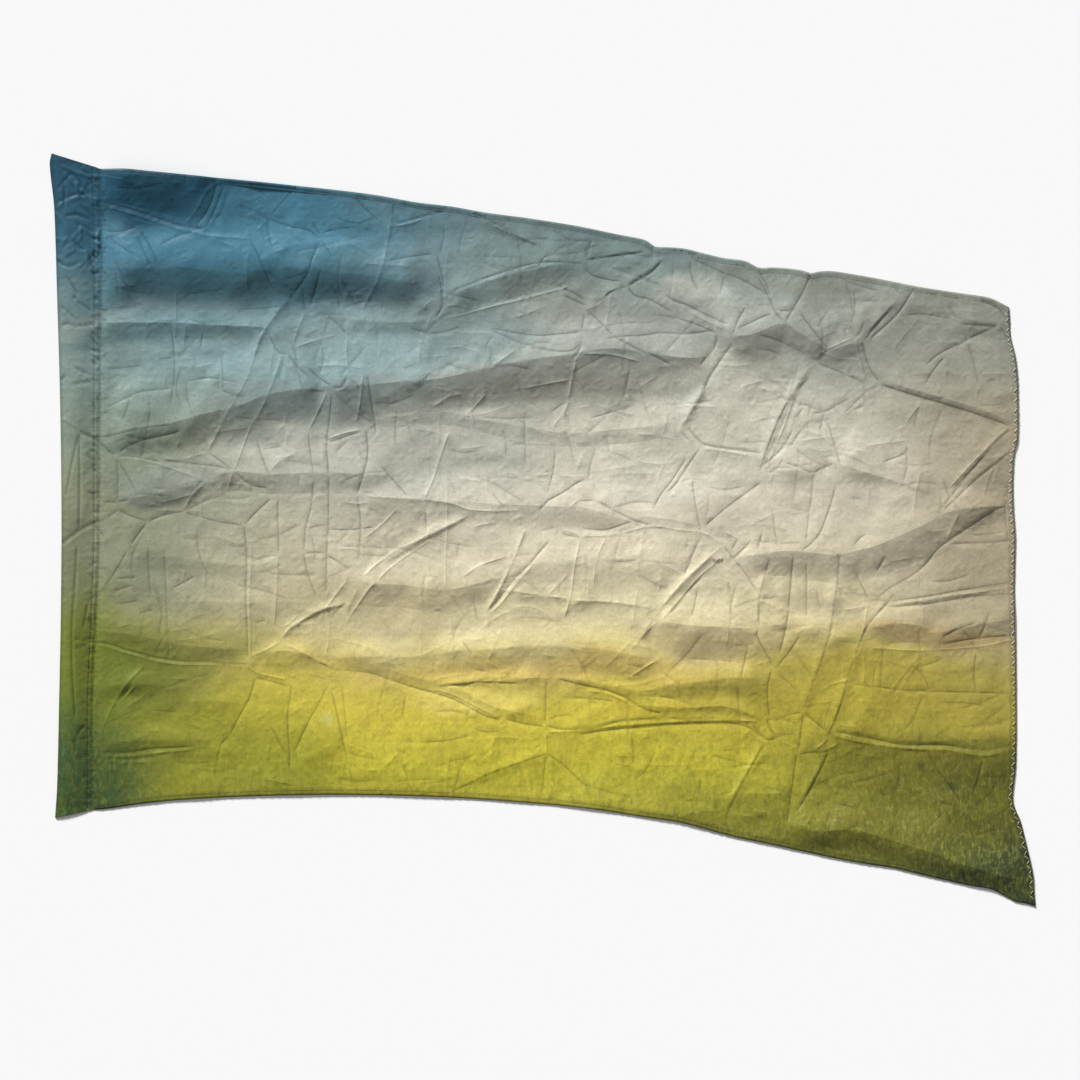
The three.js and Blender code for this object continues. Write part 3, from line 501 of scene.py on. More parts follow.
    (-0.8, 4, [(216, -80), (206, -120)]),
    (1.0, 4, [(135, -160), (152, -162)]),
    # middle right
    (-1.3, 4.5, [(405, 60), (400, 38), (390, 10), (383, -5), (370, -20), (356, -30)]),
    (-0.9, 4, [(318, 30), (322, -5), (326, -25)]),
    (1.2, 3.5, [(562, 58), (600, 100), (645, 142)]),
    (-1.0, 4, [(567, 56), (602, 93), (625, 118), (650, 141)]),
    (-1.0, 3.5, [(548, 27), (570, 54), (590, 78), (610, 104)]),
    (-1.2, 4.5, [(552, 26), (582, 54), (612, 80), (653, 113)]),
    (-2.2, 5, [(642, 34), (620, 25), (590, 5), (565, -12), (545, -27), (530, -46), (510, -62),
               (480, -80), (460, -96)]),
    (1.0, 4, [(575, 26), (566, 6), (558, -14)]),
    (-1.4, 4, [(475, -34), (462, -58)]),
    (-1.6, 4.5, [(432, -58), (440, -75), (450, -97)]),
    (-1.2, 4, [(450, -98), (465, -97), (480, -101)]),
    (1.4, 4, [(450, -98), (446, -120), (442, -142)]),
    (-2.6, 5.5, [(487, -87), (470, -108), (450, -130), (440, -150), (430, -175)]),
    (-1.7, 5, [(430, -175), (420, -205), (412, -240), (400, -272), (392, -288)]),
    (-1.6, 4.5, [(411, -36), (408, -70), (402, -110), (397, -140), (385, -180), (372, -215),
                 (360, -250)]),
    (-1.5, 4.5, [(347, -34), (344, -75), (340, -115), (335, -138), (327, -172)]),
    (-1.1, 5, [(365, -45), (366, -90), (365, -125)]),
    (1.0, 4, [(412, -35), (395, -26), (385, -8)]),
    (-0.9, 4, [(430, -24), (440, -12), (450, -6)]),
    (-1.1, 5, [(560, -20), (600, -19), (648, -15)]),
    (-0.9, 6, [(590, -8), (612, -6), (640, -2)]),
    (1.3, 3.5, [(474, -105), (520, -98), (560, -91), (600, -86), (650, -80)]),
    (-1.2, 3.5, [(478, -100), (520, -93), (560, -86), (600, -80), (648, -72)]),
    (-1.2, 4, [(480, -108), (520, -103), (560, -97), (600, -91), (652, -87)]),
    (-1.2, 4.5, [(604, -150), (612, -130), (617, -112)]),
    (-1.6, 5, [(552, -148), (580, -134), (600, -128)]),
    (-1.4, 4, [(548, -158), (600, -150), (650, -146)]),
    (-1.6, 6, [(634, 62), (645, 58)]),
    (-1.3, 4, [(642, 60), (640, 20), (645, -20)]),
    (-0.9, 6, [(535, -70), (560, -70), (590, -62)]),
    (0.9, 4, [(452, -163), (500, -166), (560, -164), (610, -160), (652, -151)]),
    # bottom left
    (-1.2, 4, [(-650, -150), (-622, -154), (-600, -157), (-575, -164), (-540, -174), (-500, -180),
               (-450, -184), (-406, -187)]),
    (0.9, 3.5, [(-622, -159), (-600, -162), (-575, -169), (-540, -179), (-500, -185),
                (-450, -189), (-412, -191)]),
    (1.5, 5, [(-550, -186), (-575, -212), (-592, -238), (-606, -268), (-612, -290)]),
    (-1.1, 5, [(-566, -212), (-578, -226), (-590, -238)]),
    (1.0, 4, [(-560, -210), (-580, -236)]),
    (-1.4, 4, [(-395, -206), (-405, -232), (-420, -256), (-432, -282)]),
    (-0.9, 4, [(-432, -282), (-446, -300), (-454, -340)]),
    (1.1, 4, [(-407, -188), (-395, -198), (-380, -202), (-355, -206)]),
    (-1.3, 4, [(-397, -206), (-375, -210), (-352, -216)]),
    (-0.9, 4, [(-347, -212), (-350, -250), (-351, -335)]),
    (0.9, 4, [(-612, -313), (-570, -311), (-540, -307), (-480, -302)]),
    (-0.8, 4, [(-612, -307), (-575, -306), (-540, -301), (-478, -298)]),
    (-0.5, 4, [(-590, -317), (-540, -312), (-515, -306)]),
    (-1.1, 4, [(-375, -270), (-365, -292), (-355, -312)]),
    (-1.3, 4, [(-297, -214), (-310, -240), (-325, -270), (-345, -308)]),
    (-1.1, 4, [(-293, -222), (-282, -270), (-270, -320)]),
    (-1.2, 4, [(-268, -328), (-262, -352)]),
    (1.2, 4, [(-355, -160), (-330, -171), (-308, -183), (-294, -189)]),
    (1.2, 4, [(-407, -178), (-385, -168), (-363, -156)]),
    (-1.2, 4, [(-310, -184), (-290, -192), (-275, -194)]),
    (-1.9, 4.5, [(-275, -194), (-240, -199), (-200, -210), (-160, -223), (-120, -237),
                 (-80, -256), (-55, -263)]),
    (1.2, 4, [(-150, -220), (-120, -230), (-95, -242), (-60, -258)]),
    (-1.3, 4, [(-145, -217), (-118, -215), (-85, -211), (-30, -214)]),
    (-0.9, 4, [(-190, -228), (-194, -262)]),
    (-1.9, 4.5, [(5, -310), (-30, -322), (-75, -338), (-100, -350), (-130, -364)]),
    (-1.3, 4, [(-50, -262), (-25, -270), (4, -274)]),
    (-0.8, 4, [(-280, -344), (-255, -350)]),
    # bottom middle and right
    (-1.0, 5, [(8, -208), (6, -240), (5, -272)]),
    (1.2, 4, [(5, -278), (4, -310)]),
    (-1.1, 4, [(4, -310), (0, -345), (-3, -374)]),
    (1.5, 4, [(8, -281), (60, -277), (110, -272), (160, -268), (200, -266), (250, -265), (300, -265)]),
    (-1.4, 4, [(7, -273), (30, -277), (75, -275), (110, -266), (160, -262)]),
    (-1.9, 5, [(50, -284), (100, -278), (160, -272), (220, -269), (280, -272), (305, -286)]),
    (-1.6, 4.5, [(22, -206), (60, -216), (90, -223), (115, -233), (140, -248), (165, -256)]),
    (1.1, 4, [(60, -222), (95, -229), (120, -240)]),
    (-0.9, 4, [(40, -232), (80, -236), (100, -239)]),
    (1.1, 4, [(120, -205), (145, -188), (165, -176)]),
    (-1.0, 4, [(165, -195), (180, -208), (192, -218)]),
    (-1.6, 4.5, [(5, -310), (30, -327), (55, -349), (66, -358)]),
    (-1.9, 5, [(255, -396), (275, -356), (295, -316), (309, -294)]),
    (1.1, 4, [(262, -372), (280, -338), (300, -300)]),
    (-1.9, 5, [(297, -136), (295, -146), (305, -165), (320, -190)]),
    (-1.1, 4, [(283, -160), (277, -190), (272, -206)]),
    (-1.6, 5, [(318, -192), (312, -220), (314, -262)]),
    (-1.4, 4, [(290, -270), (300, -280), (312, -290), (324, -287)]),
    (-1.4, 4, [(324, -190), (340, -170), (356, -147)]),
    (-1.1, 4, [(326, -198), (338, -210), (352, -222)]),
    (-1.1, 4, [(360, -252), (340, -256), (325, -262), (312, -264), (324, -288)]),
    (-1.8, 4.5, [(361, -252), (378, -266), (395, -280)]),
    (1.0, 4, [(324, -288), (338, -295), (350, -303)]),
    (-1.3, 4, [(361, -253), (356, -285), (351, -308)]),
    (-1.7, 4.5, [(350, -308), (345, -350), (341, -380), (338, -408)]),
    (-1.5, 5, [(350, -309), (372, -306), (396, -305)]),
    (1.4, 4, [(396, -281), (388, -293), (376, -304), (396, -300), (415, -291)]),
    (-2.4, 5.5, [(396, -303), (382, -332), (366, -362), (350, -390)]),
    (1.6, 3.5, [(400, -281), (416, -287), (466, -297), (528, -304), (560, -304), (610, -311),
                (648, -303)]),
    (-1.8, 4.5, [(404, -277), (450, -287), (500, -297), (560, -298), (610, -303), (650, -296)]),
    (-1.3, 4, [(532, -305), (545, -330), (562, -352), (576, -375)]),
    (1.0, 4, [(538, -322), (556, -350)]),
    (-1.4, 4.5, [(610, -316), (600, -348), (592, -368)]),
    (-1.0, 4, [(510, -186), (527, -204), (534, -222)]),
    (-0.8, 3.5, [(430, -212), (500, -222), (540, -224), (650, -225)]),
    (-0.8, 4, [(600, -225), (596, -200), (600, -168)]),
    (-1.0, 4, [(525, -230), (511, -262), (500, -278)]),
    (-0.8, 4, [(460, -185), (456, -215)]),
    (-1.2, 5, [(636, -388), (640, -420), (647, -444)]),
    (1.0, 4, [(350, -405), (375, -413)]),
    (-1.0, 4, [(428, -405), (433, -420)]),
    (-0.8, 4, [(156, -302), (140, -335), (126, -348)]),
    (1.0, 4, [(425, -205), (400, -212), (385, -222)]),
    # sleeve
    (1.4, 5, [(-674, 442), (-655, 457), (-625, 460), (-600, 453)]),
    (-2.0, 5, [(-672, 452), (-650, 462), (-628, 464)]),
    (-1.6, 4.5, [(-650, 402), (-640, 391), (-627, 386)]),
    (-1.4, 4, [(-650, 440), (-636, 434), (-622, 427)]),
    (-1.2, 4, [(-648, 425), (-630, 418), (-618, 412)]),
    (-2.4, 5, [(-673, 374), (-656, 364), (-645, 367), (-634, 373)]),
    (-2.4, 5.5, [(-632, 360), (-620, 372), (-608, 386), (-600, 394)]),
    (-1.2, 4, [(-658, 352), (-648, 336), (-640, 322)]),
    (-1.5, 4.5, [(-650, 322), (-642, 320)]),
    (-1.2, 3.5, [(-645, 317), (-632, 309), (-622, 301)]),
    (-1.0, 3.5, [(-667, 312), (-652, 298), (-641, 290)]),
    (-1.6, 4.5, [(-667, 281), (-655, 285), (-645, 282), (-615, 285)]),
    (-1.3, 4, [(-648, 226), (-636, 219), (-622, 214)]),
    (-1.9, 5, [(-650, 201), (-638, 203), (-620, 206)]),
    (-1.3, 4, [(-667, 206), (-657, 214)]),
    (1.6, 4.5, [(-662, 495), (-648, 478), (-628, 462)]),
    (-1.6, 4.5, [(-672, 470), (-660, 484), (-650, 492), (-636, 476), (-624, 462)]),
    (-1.3, 4, [(-640, 500), (-622, 488), (-610, 480)]),
    (1.3, 4, [(-668, 505), (-648, 496), (-625, 489), (-600, 487), (-575, 482)]),
    (-1.0, 4, [(-640, 135), (-639, 60), (-640, 0)]),
    (-0.9, 4, [(-641, 130), (-650, 90), (-659, 45)]),
    (-1.1, 4.5, [(-643, -20), (-646, -80), (-650, -140), (-649, -200), (-645, -260)]),
    (-0.8, 4, [(-628, -100), (-632, -125), (-636, -140)]),
    (-1.6, 5, [(-645, -285), (-638, -276), (-630, -268)]),
    (-1.2, 4, [(-648, -165), (-635, -160), (-624, -157)]),
    (-1.0, 4, [(-646, -285), (-645, -312)]),
]

# A crease's inner and outer points as shares of its width, its height for a rise of 1, and over what
# length it dies out. The height grows with the rise's root. Its last entry is how far its line of
# painted shade reaches in a groove, and of painted highlight along a ridge.
creaseShape = {"inner": 0.34, "outer": 0.75, "height": 0.62, "ends": 7.0, "lineStep": 4.0, "paintedLine": 2.2}

# Height of the cloth's face, in millimetres
surface = {
    "lift": 1.7,            # of the flat parts above the floor
    "lowest": 0.42,         # the face's least height, and how softly it comes down to it
    "settle": 0.35,
    "edgeFall": 20,         # over which the folds die out toward an edge, and what is left of them there
    "edgeShare": 0.3,
    "topShare": 0.95,
    "seamLift": 1.0,
    "seamFall": 8,
    "seamReach": 40,        # over which the folds grow away from the seam, and their share at it
    "seamShare": 0.5,
    "crumple": 0.9,         # broad soft facets
    "crumpleSize": 105,
    "crumpleWaves": [(1.45, 1.0, 5), (0.25, 1.25, 6), (2.3, 0.8, 7), (0.9, 0.55, 8)],   # turn, scale, seed
    "facetSize": 58,        # crumpled facets, and their rise and fall
    "facetRise": 2.0,
    "grain": 0.3,           # fine unevenness
    "smallCreases": 850,    # over the whole flag
    "smallRise": (0.12, 0.6),
    "smallLength": (14, 80),
    "seamCreaseStep": 6,    # creases across the seam, and in the sleeve's flattened ear
    "seamRise": (0.6, 2.2),
    "earCreases": 34,
    "earRise": (0.6, 2.0),
    "hemWidth": 8.5,
    "hemRise": 0.45,
    "hemPucker": 0.32,
    "hemPitch": 9.5,        # from pucker to pucker along a hem, and along the seam
    "seamPitch": 6.5,
    "seamPucker": 0.3,
    "hemStitch": 6.6,       # of the stitch groove from the hem's edge, and its depth
    "hemGroove": 0.45,
    "wander": 2.0,          # how far crease lines stray from their drawn line
    "wanderSize": 55,
}


def softNoise(x, y, size, seed):
    # smooth seeded noise between -1 and 1, with lumps about size across
    lattice = np.random.default_rng(seed).uniform(-1, 1, (128, 128))
    u, v = np.asarray(x) / size + 40.3, np.asarray(y) / size + 40.7
    i, j = np.floor(u).astype(int), np.floor(v).astype(int)
    u, v = u - i, v - j
    u, v = u * u * (3 - 2 * u), v * v * (3 - 2 * v)
    near = [lattice[(i + a) % 128, (j + b) % 128] for a, b in ((0, 0), (1, 0), (0, 1), (1, 1))]
    return (near[0] * (1 - u) + near[1] * u) * (1 - v) + (near[2] * (1 - u) + near[3] * u) * v


def easing(value):
    value = np.clip(value, 0, 1)
    return value * value * (3 - 2 * value)


def beside(x, y, line, reach):
    # the points within reach of a line, their distance to its left, how far along it, and its length
    points = np.asarray(line, float)
    low, high = points.min(0) - reach, points.max(0) + reach
    near = np.nonzero((x > low[0]) & (x < high[0]) & (y > low[1]) & (y < high[1]))[0]
    px, py = x[near], y[near]
    gap, side, walked = np.full(near.size, 1e9), np.ones(near.size), np.zeros(near.size)
    before = 0.0
    for (ax, ay), (bx, by) in zip(points, points[1:]):
        dx, dy = bx - ax, by - ay
        length = math.hypot(dx, dy)
        share = np.clip(((px - ax) * dx + (py - ay) * dy) / length**2, 0, 1)
        offX, offY = px - ax - share * dx, py - ay - share * dy
        away = np.hypot(offX, offY)
        closer = away < gap
        gap[closer] = away[closer]
        side[closer] = np.where(dx * offY - dy * offX >= 0, 1, -1)[closer]
        walked[closer] = (before + share * length)[closer]
        before += length
    return near, gap * side, walked, before


def bentCrease(rng, x, y, turn, length, rise, width):
    # a crease through a place, bent a little to one side
    bend = rng.normal(0, 0.05) * length
    ends = np.array([math.cos(turn), math.sin(turn)]) * length / 2
    middle = np.array([x - math.sin(turn) * bend, y + math.cos(turn) * bend])
    signed = rise * (1 if rng.random() < 0.45 else -1)
    return signed, width, [tuple(middle - ends), (x, y), tuple(middle + ends)]


def scatterCreases(values, seed):
    # small seeded creases: over the whole flag, across the seam, and in the sleeve's flattened ear
    rng = np.random.default_rng(seed)
    made = []
    for _ in range(values["smallCreases"]):
        kind = rng.random()
        if kind < 0.5:          # half run across, a quarter run up, and the rest lie any way
            turn = rng.normal(0, 0.2)
        elif kind < 0.75:
            turn = rng.normal(1.55, 0.25)
        else:
            turn = rng.uniform(-1.6, 1.6)
        made.append(bentCrease(
            rng, rng.uniform(-600, 645), rng.uniform(-500, 480), turn,
            rng.uniform(*values["smallLength"]), rng.uniform(*values["smallRise"]), rng.uniform(3, 5)))
    for y in np.arange(-380, 498, values["seamCreaseStep"]):
        strong = 0.55 + 1.1 * float(easing((y - 120) / 200))
        x = float(np.interp(y, [row[1] for row in seamEdge], [row[0] for row in seamEdge]))
        made.append(bentCrease(
            rng, x - rng.uniform(-3, 12), y + rng.uniform(-4, 4), rng.normal(-0.5, 0.5),
            rng.uniform(10, 26), strong * rng.uniform(*values["seamRise"]), rng.uniform(3, 4.2)))
    for _ in range(values["earCreases"]):
        made.append(bentCrease(
            rng, rng.uniform(-672, -600), rng.uniform(360, 508), rng.uniform(-1.6, 1.6),
            rng.uniform(14, 42), rng.uniform(*values["earRise"]), rng.uniform(3, 4.5)))
    return made


allCreases = creases + scatterCreases(surface, 11)
foldLines = [smoothLine(fold["line"], foldShape["lineStep"]) for fold in mainFolds]
creaseLines = [smoothLine(line, creaseShape["lineStep"]) for _, _, line in allCreases]


def foldHeight(x, y):
    # the highest of the main folds at each point
    height = np.zeros(x.size)
    for fold, line in zip(mainFolds, foldLines):
        reach = max(*fold["left"], *fold["right"]) + 2
        near, side, walked, length = beside(x, y, line, reach)
        share = walked / length
        left = fold["left"][0] + (fold["left"][1] - fold["left"][0]) * share
        right = fold["right"][0] + (fold["right"][1] - fold["right"][0]) * share
        fall = np.clip(1 - np.abs(side) / np.where(side > 0, left, right), 0, 1)
        fall = fall + (easing(fall) - fall) * fold.get("soft", foldShape["soft"])
        taper = foldShape["endShare"] + (1 - foldShape["endShare"]) * easing(
            np.minimum(walked, length - walked) / min(foldShape["taper"], 0.4 * length))
        height[near] = np.maximum(height[near], fold["rise"] * fall * taper)
    return height


def creaseHeight(x, y):
    # the sum of all pressed creases, and the painted shade each point gets from a groove, less the painted
    # highlight it gets from a ridge
    height, paintedShadeAndHighlight = np.zeros(x.size), np.zeros(x.size)
    for (rise, width, _), line in zip(allCreases, creaseLines):
        near, side, walked, length = beside(x, y, line, width)
        ends = easing(np.minimum(walked, length - walked) / min(creaseShape["ends"], 0.3 * length))
        wobble = 1 + 0.25 * softNoise(walked, np.zeros(near.size), 14, int(abs(line[0, 0])) + 3)
        fall = np.clip(1 - np.abs(side) / (width * creaseShape["outer"]), 0, 1)
        depth = math.copysign(creaseShape["height"] * math.sqrt(abs(rise)), rise)
        height[near] += depth * wobble * ends * (0.7 * fall + 0.3 * fall * fall)
        # painted shade along a groove's middle, and painted highlight (taken off the shade) along a ridge's
        # middle
        paintedLine = ends * easing(1 - np.abs(side) / creaseShape["paintedLine"]) * min(1, 0.75 * math.sqrt(abs(rise)))
        paintedShadeAndHighlight[near] = np.maximum(paintedShadeAndHighlight[near], paintedLine) if rise < 0 else paintedShadeAndHighlight[near] - 0.4 * paintedLine
    return height, paintedShadeAndHighlight


def crumpleHeight(x, y):
    # broad facets from storage, as warped waves with flat sides, and a finer grain
    size = surface["crumpleSize"]
    height = np.zeros(x.size)
    for turn, scale, seed in surface["crumpleWaves"]:
        wave = (x * math.cos(turn) + y * math.sin(turn)) / (size * scale)
        wave = wave + 0.55 * softNoise(x, y, size, seed)
        flat = 2 * np.abs(2 * (wave - np.floor(wave)) - 1) - 1
        height += flat * scale * (0.6 + 0.4 * softNoise(x, y, 150, seed + 9))
    grain = softNoise(x, y, 16, 21) + 0.6 * softNoise(x, y, 7, 22)
    return surface["crumple"] * height / 2.2 + surface["grain"] * grain


def facetNet(values):
    # a seeded net of triangles, each of its points with its own height
    rng = np.random.default_rng(17)
    size = values["facetSize"]
    across, up = np.meshgrid(np.arange(-740, 750, size), np.arange(-580, 590, size * 0.87))
    stray = rng.uniform(-0.44, 0.44, (across.size, 2)) * size
    net = np.column_stack([across.ravel(), up.ravel()]) + stray
    made = delaunay_2d_cdt([Vector(point) for point in net], [], [], 0, 1e-6)
    net = np.array([tuple(point) for point in made[0]])
    return net, rng.uniform(-1, 1, len(net)) * values["facetRise"], made[1], made[2]


netPoints, netRise, netEdges, netFaces = facetNet(surface)


def facetHeight(x, y):
    height = np.zeros(x.size)
    for face in netFaces:
        (ax, ay), (bx, by), (cx, cy) = netPoints[list(face)]
        near = np.nonzero((x >= min(ax, bx, cx)) & (x <= max(ax, bx, cx))
                          & (y >= min(ay, by, cy)) & (y <= max(ay, by, cy)))[0]
        whole = (bx - ax) * (cy - ay) - (by - ay) * (cx - ax)
        second = ((x[near] - ax) * (cy - ay) - (y[near] - ay) * (cx - ax)) / whole
        third = ((bx - ax) * (y[near] - ay) - (by - ay) * (x[near] - ax)) / whole
        first = 1 - second - third
        inside = (first >= -1e-9) & (second >= -1e-9) & (third >= -1e-9)
        rise = netRise[list(face)]
        height[near[inside]] = (first * rise[0] + second * rise[1] + third * rise[2])[inside]
    return height


def hemHeight(edge, along):
    # the double cloth of a turned hem, with its stitch groove and puckers
    band = easing((surface["hemWidth"] - edge) / 1.4 + 0.5)
    groove = np.exp(-((edge - surface["hemStitch"]) / 1.1) ** 2)
    wave = along / surface["hemPitch"] * 2 * math.pi + 3 * softNoise(along, along * 0, 31, 31)
    uneven = 0.6 + 0.4 * softNoise(along, along * 0, 60, 32)
    pucker = surface["hemPucker"] * np.sin(wave) * easing(1 - edge / 15) * uneven
    return surface["hemRise"] * band - surface["hemGroove"] * groove + pucker


def seamWave(along):
    # puckers along the seam, from -1 to 1
    return np.sin(along / surface["seamPitch"] * 2 * math.pi + 2 * softNoise(along, along * 0, 25, 41))


def seamHeight(along):
    return surface["seamLift"] + surface["seamPucker"] * seamWave(along)


def clothHeight(x, y, edge, along, seam):
    # height of the panel's face, from each point's distance to the hems and to the seam, and the creases'
    # painted shade and highlight
    pressed, paintedShadeAndHighlight = creaseHeight(x, y)
    height = surface["lift"] + foldHeight(x, y) + crumpleHeight(x, y) + facetHeight(x, y)
    least = surface["edgeShare"] + (surface["topShare"] - surface["edgeShare"]) * easing((y - 250) / 60)
    kept = least + (1 - least) * easing(edge / surface["edgeFall"])
    height = surface["lift"] + (height - surface["lift"]) * kept + pressed * (0.35 + 0.65 * kept)
    height += hemHeight(edge, along)
    grown = surface["seamShare"] + (1 - surface["seamShare"]) * easing(seam / surface["seamReach"])
    height = surface["lift"] + (height - surface["lift"]) * grown
    joined = easing(seam / surface["seamFall"])
    height = seamHeight(y) * (1 - joined) + height * joined
    floor, settle = surface["lowest"], surface["settle"]
    return floor + settle * np.logaddexp(0, (height - floor) / settle), paintedShadeAndHighlight


print("heights ready")

# The panel: one mesh whose points lie on its hems, folds and creases
panelMesh = {
    "hemRows": (3.0, 6.5, 8.6, 11.5), "seamRows": (3.4, 8.0), "foldSides": (-1.6, 1.6),
    # least distances between points on hems, folds, creases and the like
    "gaps": {"hem": 2.0, "fold": 2.0, "foldSide": 1.4, "crispFoot": 2.4, "foot": 3.0,
             "crease": 1.5, "creaseInner": 0.85, "creaseOuter": 0.95, "net": 3.4, "filler": 4.464},
    "netStep": 6, "filler": 7.2, "fillerStray": 1.3, "filterCell": 8.0,
    "inset": (2.2, 2.0),    # of inner points from the hems and from the seam
    "turned": 8.5, "lowest": 0.06,      # cloth turned under a hem, and its least height
}

seamLine = smoothLine(seamEdge, outline["seamStep"])
hemLines = [smoothLine(rows, outline["edgeStep"]) for rows in (topEdge, freeEdge, bottomEdge)]
ring = np.vstack([seamLine[:-1], hemLines[0][:-1], hemLines[1][:-1], hemLines[2][:-1]])


def seamDistance(x, y):
    return x - np.interp(y, seamLine[:, 1], seamLine[:, 0])


def hemDistance(x, y):
    # each point's distance to the hems, the place along them, and whether it is inside the ring
    edge, along, inside = np.full(x.size, 1e9), np.zeros(x.size), np.zeros(x.size, bool)
    walked = 0.0
    closed = np.vstack([ring, ring[:1]])
    for k, ((ax, ay), (bx, by)) in enumerate(zip(closed, closed[1:])):
        dx, dy = bx - ax, by - ay
        if ay != by:
            inside ^= ((ay > y) != (by > y)) & (x < ax + (y - ay) * dx / (by - ay))
        if k >= len(seamLine) - 1:
            length = math.hypot(dx, dy)
            share = np.clip(((x - ax) * dx + (y - ay) * dy) / length**2, 0, 1)
            away = np.hypot(x - ax - share * dx, y - ay - share * dy)
            closer = away < edge
            edge[closer] = away[closer]
            along[closer] = (walked + share * length)[closer]
            walked += length
    return edge, along, inside


def besideLine(line, offset):
    # the line moved sideways, to its left
    step = np.gradient(line, axis=0)
    step /= np.linalg.norm(step, axis=1)[:, None] + 1e-9
    return line + offset * np.column_stack([-step[:, 1], step[:, 0]])


def gatherPoints(values):
    # points for the panel, the most telling ones first, each kept clear of those before it
    rng = np.random.default_rng(3)
    groups = []     # points, their least distance to the points before, and the crisp line they are on
    gaps = values["gaps"]
    for offset in values["hemRows"]:
        groups += [(besideLine(line, -offset), gaps["hem"], -1) for line in hemLines]
    groups += [(besideLine(seamLine[::2], -offset), gaps["hem"], -1) for offset in values["seamRows"]]
    for k, (fold, line) in enumerate(zip(mainFolds, foldLines)):
        crisp = fold.get("soft", foldShape["soft"]) < foldShape["crisp"]
        groups.append((line, gaps["fold"], k if crisp else -1))
    for k, line in enumerate(creaseLines):
        groups.append((line, gaps["crease"], len(foldLines) + k))
    for (_, width, _), line in zip(creases, creaseLines):
        offset = width * creaseShape["inner"]
        groups += [(besideLine(line, side * offset), gaps["creaseInner"], -1) for side in (-1, 1)]
    for line in foldLines:
        groups += [(besideLine(line, side), gaps["foldSide"], -1) for side in values["foldSides"]]
    for k, (fold, line) in enumerate(zip(mainFolds, foldLines)):
        share = np.linspace(0, 1, len(line))[:, None]
        for side, name in ((1, "left"), (-1, "right")):
            width = fold[name][0] + (fold[name][1] - fold[name][0]) * share
            crisp = name == "right" and fold.get("foot", False)
            groups.append((line + (besideLine(line, side) - line) * width,
                           gaps["crispFoot"] if crisp else gaps["foot"],
                           len(foldLines) + len(creaseLines) + k if crisp else -1))
    for (_, width, _), line in zip(allCreases, creaseLines):
        offset = width * creaseShape["outer"]
        groups += [(besideLine(line, side * offset), gaps["creaseOuter"], -1) for side in (-1, 1)]
    for a, b in netEdges:
        way = netPoints[b] - netPoints[a]
        count = max(2, round(float(np.linalg.norm(way)) / values["netStep"]))
        groups.append((netPoints[a] + way * np.linspace(0, 1, count)[:, None], gaps["net"], -1))
    step = values["filler"]
    filler = []
    for k, row in enumerate(np.arange(-520, 505, step * 0.866)):
        places = np.arange(-620 + step / 2 * (k % 2), 682, step)
        filler.append(np.column_stack([places, np.full_like(places, row)]))
    filler = np.vstack(filler)
    stray = values["fillerStray"]
    groups.append((filler + rng.uniform(-stray, stray, filler.shape), gaps["filler"], -1))
    points = np.vstack([group for group, _, _ in groups])
    clear = np.concatenate([np.full(len(group), gap) for group, gap, _ in groups])
    lines = np.concatenate([np.full(len(group), line) for group, _, line in groups])
    edge, along, inside = hemDistance(points[:, 0], points[:, 1])
    seamGap = seamDistance(points[:, 0], points[:, 1])
    good = inside & (edge > values["inset"][0]) & (seamGap > values["inset"][1])
    points, clear, lines = points[good], clear[good], lines[good]
    cell, cells, kept = values["filterCell"], {}, []
    for x, y in ring:
        cells.setdefault((int(x // cell), int(y // cell)), []).append((x, y))
    for (x, y), gap, line in zip(points.tolist(), clear.tolist(), lines.tolist()):
        i, j = int(x // cell), int(y // cell)
        reach = gap * gap
        if any((x - a) ** 2 + (y - b) ** 2 < reach for u in (i - 1, i, i + 1) for v in (j - 1, j, j + 1)
               for a, b in cells.get((u, v), ())):
            continue
        cells.setdefault((i, j), []).append((x, y))
        kept.append((x, y, line))
    return np.array(kept)


def addMesh(name, points, faces, fields, lines=None):
    # a mesh object from points in millimetres, with one number at each point for each field
    mesh = bpy.data.meshes.new(name)
    mesh.from_pydata((np.asarray(points) * mm).tolist(), [], faces)
    for field, numbers in fields.items():
        mesh.attributes.new(field, "FLOAT", "POINT").data.foreach_set("value", np.asarray(numbers, "f"))
    mesh.shade_smooth()
    if lines is not None:       # an edge along a crisp line is a sharp one
        ends = np.empty(len(mesh.edges) * 2, "i")
        mesh.edges.foreach_get("vertices", ends)
        first, second = lines[ends[::2]], lines[ends[1::2]]
        mesh.edges.foreach_set("use_edge_sharp", (first == second) & (first >= 0))
    piece = bpy.data.objects.new(name, mesh)
    bpy.context.scene.collection.objects.link(piece)
    return piece


def turnHem(points, values):
    # the strip of cloth turned under along the hems: its points, and faces that start from the ring
    count, start = len(ring), len(seamLine) - 1
    under, faces = [], []
    middle = points[:count]
    for depth, drop in ((0.5, 0.35), (values["turned"], 0.6)):
        for k in range(start, count + 1):
            here, before, after = middle[k % count], middle[(k - 1) % count], middle[(k + 1) % count]
            way = after[:2] - before[:2]
            way /= np.linalg.norm(way)
            away = depth - 0.5
            low = max(values["lowest"], here[2] - drop)
            under.append((here[0] + way[1] * away, here[1] - way[0] * away, low))
    wide = count + 1 - start
    for k in range(wide - 1):
        near, far = start + k, (start + k + 1) % count
        low, lowNext = len(points) + k, len(points) + k + 1
        faces += [(near, far, lowNext, low), (low, lowNext, lowNext + wide, low + wide)]
    return np.array(under), faces


def faceUp(face, flat):
    # the face's points, counterclockwise from above
    first, second, third = (flat[k] for k in face)
    (ax, ay), (bx, by) = second - first, third - first
    return face if ax * by > ay * bx else face[::-1]


